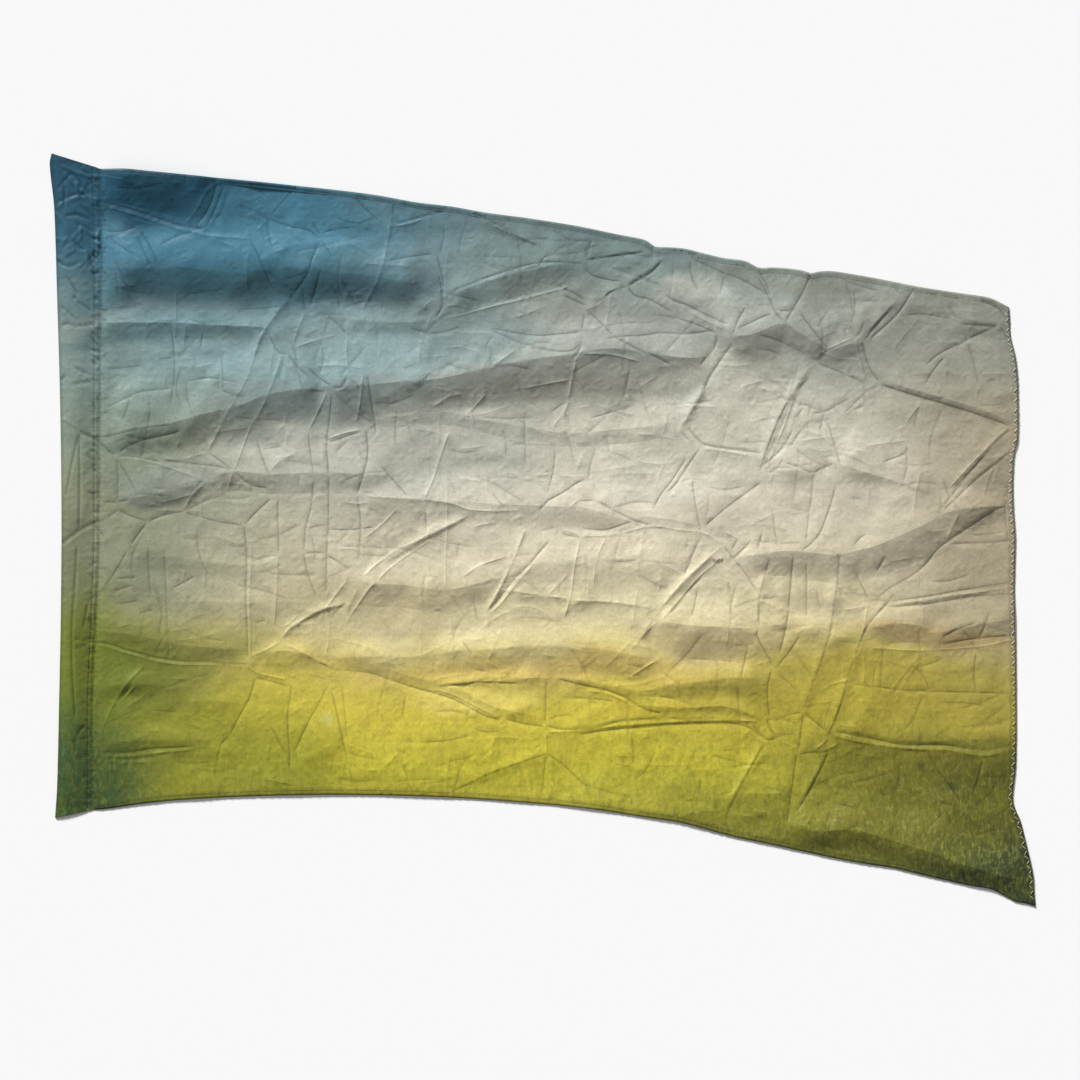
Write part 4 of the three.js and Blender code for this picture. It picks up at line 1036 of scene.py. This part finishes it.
def buildPanel(values):
    inner = gatherPoints(values)
    flat = np.vstack([ring, inner[:, :2]])
    lines = np.concatenate([np.full(len(ring), -1), inner[:, 2]])
    border = [(k, (k + 1) % len(ring)) for k in range(len(ring))]
    result = delaunay_2d_cdt([Vector(p) for p in flat], border, [], 1, 1e-6)
    flat = np.array([tuple(p) for p in result[0]])
    lines = np.array([lines[given[0]] if given else -1 for given in result[3]])
    x, y = flat[:, 0], flat[:, 1]
    edge, along, _ = hemDistance(x, y)
    seam = np.maximum(seamDistance(x, y), 0)
    height, paintedShadeAndHighlight = clothHeight(x, y, edge, along, seam)
    loose = easing(np.minimum(edge, seam) / 40) * surface["wander"]
    size = surface["wanderSize"]
    strayX, strayY = (loose * softNoise(x, y, size, seed) for seed in (51, 52))
    points = np.column_stack([x + strayX, y + strayY, height])
    faces = [faceUp(face, flat) for face in result[2]]
    # painted shade where the hem doubles the cloth, weaker at the top right
    hem = easing((surface["hemWidth"] - edge) / 1.2 + 0.5) * (seam > 1)
    hem = hem * (1 - 0.65 * easing((x - 50) / 200) * easing((y + 100) / 200))     # paler at the top right
    under, turnedFaces = turnHem(points, values)
    points = np.vstack([points, under])
    # the crease field is painted shade in grooves and painted highlight on ridges
    fields = {"crease": np.concatenate([paintedShadeAndHighlight, np.zeros(len(under))]),
              "hem": np.concatenate([hem, np.ones(len(under))])}
    lines = np.concatenate([lines, np.full(len(under), -1)])
    piece = addMesh("flagCloth", points, faces + turnedFaces, fields, lines)
    print("panel", len(points), "points")
    return piece


flagCloth = buildPanel(panelMesh)

# The sleeve: the same cloth turned back along its left edge, and left open as a flat tube
sleeveMesh = {
    "columns": 40, "backColumns": 9,
    "puff": 4.6, "foldRise": 3.2, "topBow": 2.5,
    "flatten": (395, 470), "foot": (-398, -360),    # between these heights on the flag it opens and closes
    "pressed": 1.6, "crumple": 0.5,                 # shares of the flag's creases and crumple
    "topKept": 0.25, "footKept": 0.25,              # shares of its height where it is closed
    "seamward": 0.12,                               # share of its width that falls to the seam
    "foldRadius": 1.3, "backHeight": 0.3, "frontHeight": 1.1, "lowest": 0.8,
    "stitchRows": (0.83, 0.95), "stitchGroove": 0.6,    # rows as shares of its width, and their depth
}


def sleeveFront(u, x, y, values):
    # height over the sleeve's front, u from 0 at its fold to 1 at the seam, and the painted shade and
    # highlight of its creases and stitch grooves
    pressed, paintedShadeAndHighlight = creaseHeight(x, y)
    (closedFrom, closedTo), (footFrom, footTo) = values["flatten"], values["foot"]
    topKept, footKept = values["topKept"], values["footKept"]
    top = 1 - (1 - topKept) * easing((y - closedFrom) / (closedTo - closedFrom))
    foot = footKept + (1 - footKept) * easing((y - footFrom) / (footTo - footFrom))
    arch = np.sin(math.pi * np.clip(u, 0, 1) ** 0.75) ** 1.2
    puff = values["puff"] * (1 + 0.35 * softNoise(y, y * 0, 90, 61)) * arch
    fold = values["foldRise"] * (1 + 0.2 * softNoise(y, y * 0, 70, 62)) * (1 - u) ** 1.2
    seamward = easing((1 - u) / values["seamward"])
    soft = (puff + fold) * top * foot + values["crumple"] * crumpleHeight(x, y)
    height = values["frontHeight"] + soft * seamward + values["pressed"] * pressed * easing((1 - u) / 0.05)
    groove = values["stitchGroove"] * sum(np.exp(-((u - row) / 0.02) ** 2) for row in values["stitchRows"])
    pucker = surface["seamPucker"] * seamWave(y) * np.clip((u - 0.5) / 0.5, 0, 1) ** 2
    height = height - groove * seamward + pucker * seamward
    height = height * seamward + seamHeight(y) * (1 - seamward)
    # painted shade along the two stitch grooves, kept in the same field as the creases' painted shade
    rows = sum(np.exp(-((u - row) / 0.018) ** 2) for row in values["stitchRows"])
    paintedStitchShade = 0.6 * rows * (0.6 + 0.4 * softNoise(x, y, 9, 71))
    return np.maximum(height, values["lowest"]), np.maximum(paintedShadeAndHighlight, paintedStitchShade)


def buildSleeve(values):
    rows = len(seamLine)
    fine = smoothLine(foldedEdge, outline["foldStep"])
    walked = lengthsAlong(fine)
    stops = np.linspace(0, walked[-1], rows)
    fold = np.column_stack([np.interp(stops, walked, fine[:, k]) for k in (0, 1)])
    front = np.linspace(1, 0, values["columns"])
    radius, low = values["foldRadius"], values["backHeight"]
    u = np.tile(front, (rows, 1))
    x = fold[:, :1] + radius + (seamLine[:, :1] - fold[:, :1] - radius) * u
    y = fold[:, 1:] + (seamLine[:, 1:] - fold[:, 1:]) * u
    y = y - values["topBow"] * 4 * u * (1 - u) * easing(1 - (fold[-1, 1] - fold[:, 1:]) / 35)
    height, paintedShadeAndHighlight = sleeveFront(u.ravel(), x.ravel(), y.ravel(), values)
    height, paintedShadeAndHighlight = height.reshape(u.shape), paintedShadeAndHighlight.reshape(u.shape)
    top = height[:, -1:]
    turn = np.linspace(0, math.pi, 8)[1:-1][None, :]
    roundX = x[:, -1:] - radius * np.sin(turn)
    roundZ = low + (top - low) * (1 + np.cos(turn)) / 2
    back = np.linspace(0, 0.93, values["backColumns"])[None, :]
    backX = x[:, -1:] + (x[:, :1] - x[:, -1:]) * back
    backY = y[:, -1:] + (y[:, :1] - y[:, -1:]) * back
    points = np.stack([
        np.hstack([x, roundX, backX]),
        np.hstack([y, np.repeat(y[:, -1:], turn.size, 1), backY]),
        np.hstack([height, roundZ, np.full(backX.shape, low)])], axis=2)
    across = points.shape[1]
    faces = [(r * across + c, (r + 1) * across + c, (r + 1) * across + c + 1, r * across + c + 1)
             for r in range(rows - 1) for c in range(across - 1)]
    plain = np.zeros((rows, across - u.shape[1]))
    # the hem field paints shade along the sleeve's rolled fold edge and at its top end; its back, under the
    # front, is set to 1
    atTop = easing(1 - np.abs(points[:, :, 1] - points[-1:, :, 1]) / 6)
    hem = np.maximum(np.hstack([easing((0.09 - u) / 0.09), plain + 1]), atTop * 0.6)
    piece = addMesh("sleeveCloth", points.reshape(-1, 3), faces,
                    {"crease": np.hstack([paintedShadeAndHighlight, plain]).ravel(), "hem": hem.ravel()})
    print("sleeve", rows * across, "points")
    return piece


sleeveCloth = buildSleeve(sleeveMesh)

# Dyes: from blue at the top through grey and cream to greens at the bottom
def addColour(*tone):
    # red, green and blue from 0 to 255, as Blender's linear values
    return (*[v / 255 / 12.92 if v <= 10 else ((v / 255 + 0.055) / 1.055) ** 2.4 for v in tone], 1)


# Most spots below are print; those noted as painted shade darken fold flanks that face away from the light.
dyeAndPaintedShade = {
    "warp": (0.16, 0.11, 0.0), "markWarp": (0.02, 0.02, 0.0),       # how far the dyes stray, in metres
    "patchEdge": (0.35, 1.25), "markEdge": (0.3, 1.3),      # where a spot starts to fade and ends, in radii
    "mottleUp": (-0.44, -0.10), "mottleAcross": (-0.3, 0.6),        # where the mottling fades out
    "gradient": [   # height on the flag in metres, and the dye there
        (-0.48, (80, 88, 38)), (-0.41, (130, 128, 42)), (-0.33, (190, 180, 54)),
        (-0.25, (205, 188, 66)), (-0.19, (200, 182, 98)), (-0.13, (208, 196, 152)),
        (-0.05, (208, 199, 170)), (0.06, (211, 205, 184)), (0.14, (190, 187, 170)),
        (0.22, (164, 165, 153)), (0.30, (160, 164, 155)), (0.37, (126, 142, 138)),
        (0.46, (112, 134, 134))],
    "patches": [    # middle and radii in metres, share, dye
        ((-0.72, 0.02), (0.42, 0.26), 0.9, (126, 133, 106)),      # duller toward the sleeve
        ((-0.72, 0.20), (0.36, 0.12), 0.8, (120, 137, 124)),
        ((0.74, 0.03), (0.32, 0.36), 0.85, (156, 146, 119)),      # and toward the free edge
        ((0.74, 0.29), (0.40, 0.13), 0.9, (136, 138, 126)),
        ((-0.22, 0.11), (0.26, 0.10), 0.65, (164, 167, 157)),     # cool and warm parts of the middle
        ((0.24, 0.14), (0.26, 0.10), 0.6, (205, 201, 183)),
        ((-0.35, 0.25), (0.36, 0.10), 0.85, (120, 148, 151)),     # pale blue under the blue corner
        ((-0.46, 0.43), (0.38, 0.13), 0.98, (62, 113, 134)),
        # print, with painted shade: the dark blue band is deepened for the shade of the top left fold's
        # lower flank
        ((-0.42, 0.335), (0.34, 0.05), 0.8, (40, 86, 100)),
        # painted shade on the lower flank under the thin ridge at y 0.285
        ((-0.50, 0.272), (0.16, 0.022), 0.6, (70, 108, 114)),
        # painted shade deepening the facet that falls away from the light below the top left ridge
        ((-0.55, 0.458), (0.12, 0.04), 0.9, (18, 66, 88)),
        ((-0.50, 0.500), (0.22, 0.035), 0.9, (26, 76, 98)),
        ((-0.60, 0.335), (0.04, 0.028), 0.5, (88, 124, 132)),
        # painted shade on the lower flank under the thin ridge at y 0.285
        ((-0.59, 0.275), (0.04, 0.02), 0.5, (84, 108, 106)),
        ((-0.68, 0.48), (0.09, 0.12), 0.95, (30, 76, 97)),
        ((0.36, 0.36), (0.17, 0.045), 0.8, (134, 138, 128)),      # greys of the long band and over it
        ((0.19, 0.33), (0.05, 0.03), 0.8, (184, 186, 176)),
        ((0.20, 0.185), (0.06, 0.03), 0.6, (216, 214, 198)),
        ((-0.66, 0.33), (0.05, 0.03), 0.5, (110, 136, 134)),
        # painted shade on the lower flank of the long band
        ((-0.30, 0.18), (0.24, 0.03), 0.5, (108, 118, 114)),
        ((-0.20, -0.02), (0.08, 0.035), 0.5, (182, 175, 150)),
        ((-0.25, 0.03), (0.10, 0.03), 0.4, (160, 157, 138)),
        ((0.62, 0.08), (0.06, 0.04), 0.5, (140, 132, 110)),
        ((0.00, 0.39), (0.15, 0.04), 0.6, (98, 118, 117)),
        ((-0.12, 0.275), (0.14, 0.05), 0.75, (112, 130, 128)),
        ((-0.10, 0.335), (0.06, 0.03), 0.5, (134, 160, 158)),
        ((0.12, 0.265), (0.13, 0.06), 0.55, (130, 137, 131)),
        # painted shade on the lower flank of the long band
        ((0.02, 0.185), (0.22, 0.035), 0.6, (140, 141, 130)),
        ((0.12, 0.07), (0.09, 0.06), 0.45, (224, 219, 200)),
        ((0.43, 0.07), (0.09, 0.05), 0.55, (176, 170, 152)),
        ((0.30, 0.025), (0.14, 0.05), 0.6, (178, 172, 152)),
        ((-0.24, -0.10), (0.15, 0.045), 0.5, (176, 164, 124)),
        ((-0.43, 0.03), (0.09, 0.04), 0.4, (150, 152, 134)),
        ((-0.48, 0.235), (0.09, 0.028), 0.5, (146, 176, 178)),
        ((-0.51, 0.08), (0.10, 0.04), 0.6, (124, 134, 128)),
        # The browns below are painted shade, warm in tone, on the lower bands' flanks that face away from
        # the light.
        ((-0.50, -0.15), (0.16, 0.05), 0.6, (160, 150, 70)),      # browns of the lower bands
        ((-0.02, -0.19), (0.28, 0.026), 0.55, (204, 176, 106)),
        ((0.24, -0.155), (0.11, 0.028), 0.6, (190, 170, 126)),
        ((0.55, -0.152), (0.13, 0.022), 0.7, (184, 166, 114)),
        ((-0.17, -0.09), (0.11, 0.022), 0.5, (200, 184, 146)),
        ((-0.16, -0.24), (0.30, 0.06), 0.5, (207, 192, 72)),      # the yellow
        ((0.05, -0.36), (0.15, 0.035), 0.6, (192, 182, 62)),
        ((0.52, -0.235), (0.42, 0.085), 0.75, (162, 147, 54)),
        ((0.44, -0.112), (0.16, 0.026), 0.5, (192, 178, 144)),
        # painted shade, warm in tone, on the flank below the folds near the free edge
        ((0.545, -0.146), (0.13, 0.024), 0.85, (172, 150, 104)),
        ((0.58, -0.118), (0.10, 0.020), 0.5, (150, 136, 104)),
        ((-0.72, -0.20), (0.34, 0.14), 0.95, (104, 115, 36)),     # greens of the lower corners
        ((-0.46, -0.33), (0.20, 0.10), 0.6, (116, 124, 36)),
        ((-0.70, -0.27), (0.14, 0.08), 0.6, (78, 100, 42)),
        ((-0.70, -0.36), (0.20, 0.11), 0.95, (54, 82, 42)),
        ((0.55, -0.31), (0.24, 0.045), 0.65, (112, 108, 34)),
        ((-0.56, -0.31), (0.10, 0.04), 0.5, (104, 114, 42)),
        ((-0.10, -0.218), (0.10, 0.028), 0.7, (230, 211, 112)),
        ((0.62, -0.37), (0.36, 0.11), 0.9, (102, 100, 34)),
        ((0.70, -0.47), (0.17, 0.11), 0.9, (42, 56, 36)),
        ((0.64, -0.33), (0.10, 0.07), 0.55, (78, 78, 26)),
        ((-0.67, -0.34), (0.12, 0.09), 0.5, (42, 72, 42)),
        ((-0.665, -0.03), (0.03, 0.12), 0.45, (96, 102, 72)),     # small lighter and darker places
        ((0.20, 0.075), (0.06, 0.035), 0.5, (234, 228, 206)),
        ((0.10, 0.180), (0.05, 0.022), 0.5, (138, 136, 124)),
        ((0.30, 0.230), (0.05, 0.030), 0.4, (132, 130, 118)),
        ((0.60, 0.235), (0.05, 0.030), 0.4, (174, 174, 160)),
        ((-0.595, 0.430), (0.03, 0.025), 0.5, (84, 132, 150)),
        ((-0.40, 0.130), (0.05, 0.022), 0.5, (118, 130, 126)),
    ],
    "mottles": [    # lumps to the metre across and along, threshold, dye, share
        ((70, 34), (0.47, 0.66), (118, 120, 30), 0.4),
        ((140, 60), (0.44, 0.70), (66, 80, 32), 0.48),
        ((190, 84), (0.47, 0.74), (196, 190, 96), 0.30),
        ((300, 130), (0.48, 0.74), (150, 156, 84), 0.30),
    ],
    "marks": [      # small stains: middle and radii in metres, share, dye
        ((0.524, -0.325), (0.009, 0.008), 0.6, (58, 60, 24)),
        ((0.568, -0.352), (0.011, 0.008), 0.6, (52, 58, 30)),
        ((0.469, -0.361), (0.008, 0.006), 0.5, (70, 72, 28)),
        ((0.138, 0.077), (0.006, 0.005), 0.4, (150, 145, 130)),
        ((0.187, -0.361), (0.045, 0.013), 0.35, (120, 116, 30)),
        ((-0.298, -0.260), (0.012, 0.010), 0.4, (206, 204, 130)),
    ],
    "grain": [(22, 0.05), (120, 0.07), (380, 0.12)],    # lumps to the metre, their share of light and dark
}


def newGroup(name, inputs, outputs):
    group = bpy.data.node_groups.new(name, "ShaderNodeTree")
    for kind, socket in inputs:
        group.interface.new_socket(name=socket, in_out="INPUT", socket_type=kind)
    for kind, socket in outputs:
        group.interface.new_socket(name=socket, in_out="OUTPUT", socket_type=kind)
    return group, group.nodes.new("NodeGroupInput"), group.nodes.new("NodeGroupOutput")


def addNode(tree, kind, links=(), **values):
    # a node with its settings, and its inputs set or linked by name or number
    node = tree.nodes.new(kind)
    for name, value in values.items():
        setattr(node, name, value)
    for socket, value in links:
        if isinstance(value, bpy.types.NodeSocket):
            tree.links.new(value, node.inputs[socket])
        else:
            node.inputs[socket].default_value = value
    return node


def newMaterial(name):
    material = bpy.data.materials.new(name)
    material.use_nodes = True
    return material, material.node_tree, material.node_tree.nodes["Principled BSDF"]


def mixColours(tree, factor, first, second, blend="MIX"):
    # in this node, inputs 0, 6 and 7 and output 2 are the ones for colours
    node = addNode(tree, "ShaderNodeMix", data_type="RGBA", blend_type=blend)
    for socket, value in zip((node.inputs[0], node.inputs[6], node.inputs[7]), (factor, first, second)):
        if isinstance(value, bpy.types.NodeSocket):
            tree.links.new(value, socket)
        else:
            socket.default_value = value
    return node.outputs[2]


def doMath(tree, operation, first, second=0.0):
    return addNode(tree, "ShaderNodeMath", [(0, first), (1, second)], operation=operation).outputs[0]


def spread(tree, value, low, high, lowOut=0.0, highOut=1.0, kind="SMOOTHSTEP"):
    return addNode(tree, "ShaderNodeMapRange", [
        ("Value", value), ("From Min", low), ("From Max", high), ("To Min", lowOut), ("To Max", highOut)],
        interpolation_type=kind).outputs["Result"]


def shadeBy(tree, colour, share):
    grey = addNode(tree, "ShaderNodeCombineColor", [(0, share), (1, share), (2, share)]).outputs[0]
    return mixColours(tree, 1.0, colour, grey, "MULTIPLY")


def vectorMath(tree, operation, *inputs):
    return addNode(tree, "ShaderNodeVectorMath", enumerate(inputs), operation=operation)


def stretched(tree, place, scale, location=(0, 0, 0)):
    links = [("Vector", place), ("Location", location), ("Scale", scale)]
    return addNode(tree, "ShaderNodeMapping", links).outputs[0]


def lumps(tree, place, *settings, **kinds):
    links = [("Vector", place), *zip(("Scale", "Detail", "Roughness", "Distortion"), settings)]
    return addNode(tree, "ShaderNodeTexNoise", links, **kinds)


def addSpots(tree, place, spots, full, end, colour):
    # oval spots of dye and of painted shade, at their full share out to full and gone at end, both as
    # shares of the radii
    for (x, y), (wide, tall), share, tone in spots:
        local = stretched(tree, place, (1 / wide, 1 / tall, 0), (-x / wide, -y / tall, 0))
        away = vectorMath(tree, "LENGTH", local).outputs["Value"]
        colour = mixColours(tree, spread(tree, away, full, end, share, 0.0), colour, addColour(*tone))
    return colour


def dyeAndShadeGroup(values):
    # the printed colour with some spots of painted shade on fold flanks, from a place on the flag in metres
    tree, source, target = newGroup(
        "dyedAndShadedCloth", [("NodeSocketVector", "Place")], [("NodeSocketColor", "Color")])
    place = source.outputs["Place"]
    drift = lumps(tree, place, 5.0, 3.0).outputs["Color"]
    shift = vectorMath(tree, "SUBTRACT", drift, (0.5, 0.5, 0.5)).outputs[0]
    warped = vectorMath(tree, "MULTIPLY_ADD", shift, values["warp"], place).outputs[0]
    parts = addNode(tree, "ShaderNodeSeparateXYZ", [(0, warped)])
    low, high = values["gradient"][0][0], values["gradient"][-1][0]
    share = spread(tree, parts.outputs["Y"], low, high, kind="LINEAR")
    ramp = addNode(tree, "ShaderNodeValToRGB", [("Fac", share)])
    stops = ramp.color_ramp.elements
    while len(stops) < len(values["gradient"]):
        stops.new(0.5)
    for stop, (height, _) in zip(stops, values["gradient"]):
        stop.position = (height - low) / (high - low)
    for stop, (_, tone) in zip(stops, values["gradient"]):
        stop.color = addColour(*tone)
    colour = addSpots(tree, warped, values["patches"], *values["patchEdge"], ramp.outputs["Color"])
    rough = vectorMath(tree, "MULTIPLY_ADD", shift, values["markWarp"], place).outputs[0]
    colour = addSpots(tree, rough, values["marks"], *values["markEdge"], colour)
    # soft upright mottling toward the bottom and the free edge
    low = spread(tree, parts.outputs["Y"], *values["mottleUp"], 1.0, 0.0)
    side = spread(tree, parts.outputs["X"], *values["mottleAcross"], 0.65, 1.0)
    reach = doMath(tree, "MULTIPLY", low, side)
    for scale, threshold, tone, share in values["mottles"]:
        noise = lumps(tree, stretched(tree, place, (*scale, 1), (3, 1, 0)), 1.0, 4.0, 0.65, 0.6)
        mask = spread(tree, noise.outputs["Fac"], *threshold)
        mask = doMath(tree, "MULTIPLY", mask, doMath(tree, "MULTIPLY", reach, share))
        colour = mixColours(tree, mask, colour, addColour(*tone))
    shade = None
    for scale, change in values["grain"]:
        noise = lumps(tree, place, scale, 4.0, 0.65)
        part = spread(tree, noise.outputs["Fac"], 0.3, 0.7, 1 - change, 1 + change, "LINEAR")
        shade = part if shade is None else doMath(tree, "MULTIPLY", shade, part)
    tree.links.new(shadeBy(tree, colour, shade), target.inputs["Color"])
    return tree


dyedAndShadedCloth = dyeAndShadeGroup(dyeAndPaintedShade)

clothLook = {"roughness": 0.5, "specular": 0.3, "sheen": 0.03, "creaseShade": 0.4, "hemShade": 0.3,
             "bumps": [      # kind, lumps to the metre across and along, and height in millimetres
                 ("RIDGED_MULTIFRACTAL", (26, 34), 1.7), ("RIDGED_MULTIFRACTAL", (80, 95), 0.7),
                 ("FBM", (260, 2400), 0.09), ("FBM", (2400, 260), 0.09)]}


def clothMaterial(name, values):
    # silk-like cloth, with painted shade in its creases, painted highlight on its pressed ridges, and
    # painted shade where a hem doubles it and along the sleeve's rolled fold
    material, tree, shader = newMaterial(name)
    place = addNode(tree, "ShaderNodeTexCoord").outputs["Object"]
    dyed = addNode(tree, "ShaderNodeGroup", [("Place", place)], node_tree=dyedAndShadedCloth).outputs["Color"]
    # painted shade from the crease field (painted highlight where it is under 0) and from the hem field
    crease = addNode(tree, "ShaderNodeAttribute", attribute_name="crease").outputs["Fac"]
    hem = addNode(tree, "ShaderNodeAttribute", attribute_name="hem").outputs["Fac"]
    dark = doMath(tree, "MULTIPLY", spread(tree, crease, 0, 1, 1, 1 - values["creaseShade"], "LINEAR"),
                  spread(tree, hem, 0, 1, 1, 1 - values["hemShade"], "LINEAR"))
    tree.links.new(shadeBy(tree, dyed, dark), shader.inputs["Base Color"])
    height = None
    for kind, scale, share in values["bumps"]:
        noise = lumps(tree, stretched(tree, place, (*scale, 1)), 1.0, 3.0, noise_type=kind)
        part = doMath(tree, "MULTIPLY", noise.outputs["Fac"], share)
        height = part if height is None else doMath(tree, "ADD", height, part)
    bump = addNode(tree, "ShaderNodeBump", [("Height", height), ("Distance", mm)])
    tree.links.new(bump.outputs["Normal"], shader.inputs["Normal"])
    shader.inputs["Roughness"].default_value = values["roughness"]
    shader.inputs["Specular IOR Level"].default_value = values["specular"]
    shader.inputs["Sheen Weight"].default_value = values["sheen"]
    return material


flagCloth.data.materials.append(clothMaterial("printedCloth", clothLook))
sleeveCloth.data.materials.append(clothMaterial("sleeveCloth", clothLook))
print("cloth dyed")

# Stitches: one is modelled, then copied along each row
stitching = {"length": 3.0, "thread": 0.5, "pitch": 4.3, "outerRow": 3.0, "innerRow": 10.0, "hemRow": 7.0,
             "zigzag": (0.8, 6.4), "zigzagStep": 7.0, "zigzagThread": 2.9, "above": 0.25,
             "dark": ((104, 122, 104), 0.35), "pale": ((214, 208, 184), 0.42),    # threads: tone and share
             "roughness": 0.6}


def modelStitch(values):
    bpy.ops.object.select_all(action="DESELECT")
    bpy.ops.mesh.primitive_uv_sphere_add(segments=6, ring_count=5, radius=0.5, location=(0, 0, 0))
    stitch = bpy.context.object
    stitch.scale = (values["length"] * mm, values["thread"] * mm, values["thread"] * mm)
    bpy.ops.object.transform_apply(scale=True)
    bpy.ops.object.shade_smooth()
    return stitch


def sewRow(name, stitch, ends, heights, material, thick=1):
    # copies of the stitch, one between each pair of ends, joined into one piece
    made = []
    for (start, stop), height in zip(ends, heights):
        step = np.array(stop) - np.array(start)
        copy = stitch.copy()
        copy.data = stitch.data.copy()
        copy.location = (*((np.array(start) + stop) / 2 * mm), (height + stitching["above"]) * mm)
        copy.rotation_euler = (0, 0, math.atan2(step[1], step[0]))
        copy.scale = (float(np.linalg.norm(step)) / stitching["length"], thick, thick)
        bpy.context.scene.collection.objects.link(copy)
        made.append(copy)
    bpy.ops.object.select_all(action="DESELECT")
    for copy in made:
        copy.select_set(True)
    bpy.context.view_layer.objects.active = made[0]
    bpy.ops.object.join()
    bpy.ops.object.transform_apply(location=True, rotation=True, scale=True)
    piece = bpy.context.object
    piece.name = name
    piece.data.materials.append(material)
    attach(piece, "root")
    return piece


def alongRow(line, pitch, length):
    # the two ends of each stitch along a line
    walked = lengthsAlong(line)
    starts = np.arange(pitch, walked[-1] - pitch, pitch)
    return [[tuple(np.interp(at, walked, line[:, k]) for k in (0, 1)) for at in (start, start + length)]
            for start in starts]


def panelHeightAt(ends):
    middle = np.array([(np.array(a) + b) / 2 for a, b in ends])
    edge, along, _ = hemDistance(middle[:, 0], middle[:, 1])
    seam = np.maximum(seamDistance(middle[:, 0], middle[:, 1]), 0)
    return clothHeight(middle[:, 0], middle[:, 1], edge, along, seam)[0]


def sleeveHeightAt(ends):
    middle = np.array([(np.array(a) + b) / 2 for a, b in ends])
    side = np.array(foldedEdge[:-1])
    fold = np.interp(middle[:, 1], side[:, 1], side[:, 0])
    seam = np.interp(middle[:, 1], seamLine[:, 1], seamLine[:, 0])
    return sleeveFront((middle[:, 0] - fold) / (seam - fold), middle[:, 0], middle[:, 1], sleeveMesh)[0]


def threadMaterial(name, tone, share):
    # thread in the colour of the cloth under it, mixed toward its own tone by a share
    material, tree, shader = newMaterial(name)
    place = addNode(tree, "ShaderNodeTexCoord").outputs["Object"]
    dyed = addNode(tree, "ShaderNodeGroup", [("Place", place)], node_tree=dyedAndShadedCloth).outputs["Color"]
    tree.links.new(mixColours(tree, share, dyed, addColour(*tone)), shader.inputs["Base Color"])
    shader.inputs["Roughness"].default_value = stitching["roughness"]
    return material


def sewAll(values):
    stitch = modelStitch(values)
    darkThread = threadMaterial("darkThread", *values["dark"])
    paleThread = threadMaterial("paleThread", *values["pale"])
    rows = []
    for offset in (values["outerRow"], values["innerRow"]):
        rows += alongRow(besideLine(seamLine, offset), values["pitch"], values["length"])
    pieces = [sewRow("sleeveStitches", stitch, rows, sleeveHeightAt(rows), darkThread)]
    rows = []
    for line in (hemLines[0], hemLines[2]):
        rows += alongRow(besideLine(line, -values["hemRow"]), values["pitch"], values["length"])
    pieces.append(sewRow("hemStitches", stitch, rows, panelHeightAt(rows), darkThread))
    near, far = (besideLine(hemLines[1], -offset) for offset in values["zigzag"])
    ticks = alongRow(near, values["zigzagStep"], 0.1)
    others = alongRow(far, values["zigzagStep"], 0.1)
    path = [(ticks if k % 2 else others)[k][0] for k in range(min(len(ticks), len(others)))]
    rows = [[a, b] for a, b in zip(path, path[1:])]
    heights = panelHeightAt(rows)
    pieces.append(sewRow("edgeStitches", stitch, rows, heights, paleThread, values["zigzagThread"]))
    bpy.data.objects.remove(stitch)
    print("stitches sewn")
    return pieces


sleeveStitches, hemStitches, edgeStitches = sewAll(stitching)

# Floor, light and world
studio = {"sunTurn": 119, "sunHeight": 24, "sunPower": 5.5, "sunSpread": 14, "world": 0.28, "floor": 0.95}


def addStudio(values):
    bpy.ops.object.select_all(action="DESELECT")
    bpy.ops.mesh.primitive_plane_add(size=8, location=(0, 0, 0))
    floor = bpy.context.object
    floor.name = "floor"
    paint, _, shader = newMaterial("floorPaint")
    shader.inputs["Base Color"].default_value = (values["floor"],) * 3 + (1,)
    shader.inputs["Roughness"].default_value = 0.9
    shader.inputs["Specular IOR Level"].default_value = 0.1
    floor.data.materials.append(paint)
    sun = bpy.data.lights.new("sun", "SUN")
    sun.energy = values["sunPower"]
    sun.angle = math.radians(values["sunSpread"])
    lamp = bpy.data.objects.new("sun", sun)
    turn, rise = math.radians(values["sunTurn"]), math.radians(values["sunHeight"])
    toward = Vector((math.cos(turn) * math.cos(rise), math.sin(turn) * math.cos(rise), math.sin(rise)))
    lamp.rotation_euler = toward.to_track_quat("Z", "Y").to_euler()
    lamp.location = toward * 5
    bpy.context.scene.collection.objects.link(lamp)
    world = bpy.data.worlds.new("studio")
    world.use_nodes = True
    world.node_tree.nodes["Background"].inputs["Color"].default_value = (1, 1, 1, 1)
    world.node_tree.nodes["Background"].inputs["Strength"].default_value = values["world"]
    bpy.context.scene.world = world
    bpy.context.scene.view_settings.view_transform = "Standard"


addStudio(studio)
print("studio lit")

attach(flagCloth, "root")
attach(sleeveCloth, "root")
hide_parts("cloth_panel")
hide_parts("pole_sleeve")
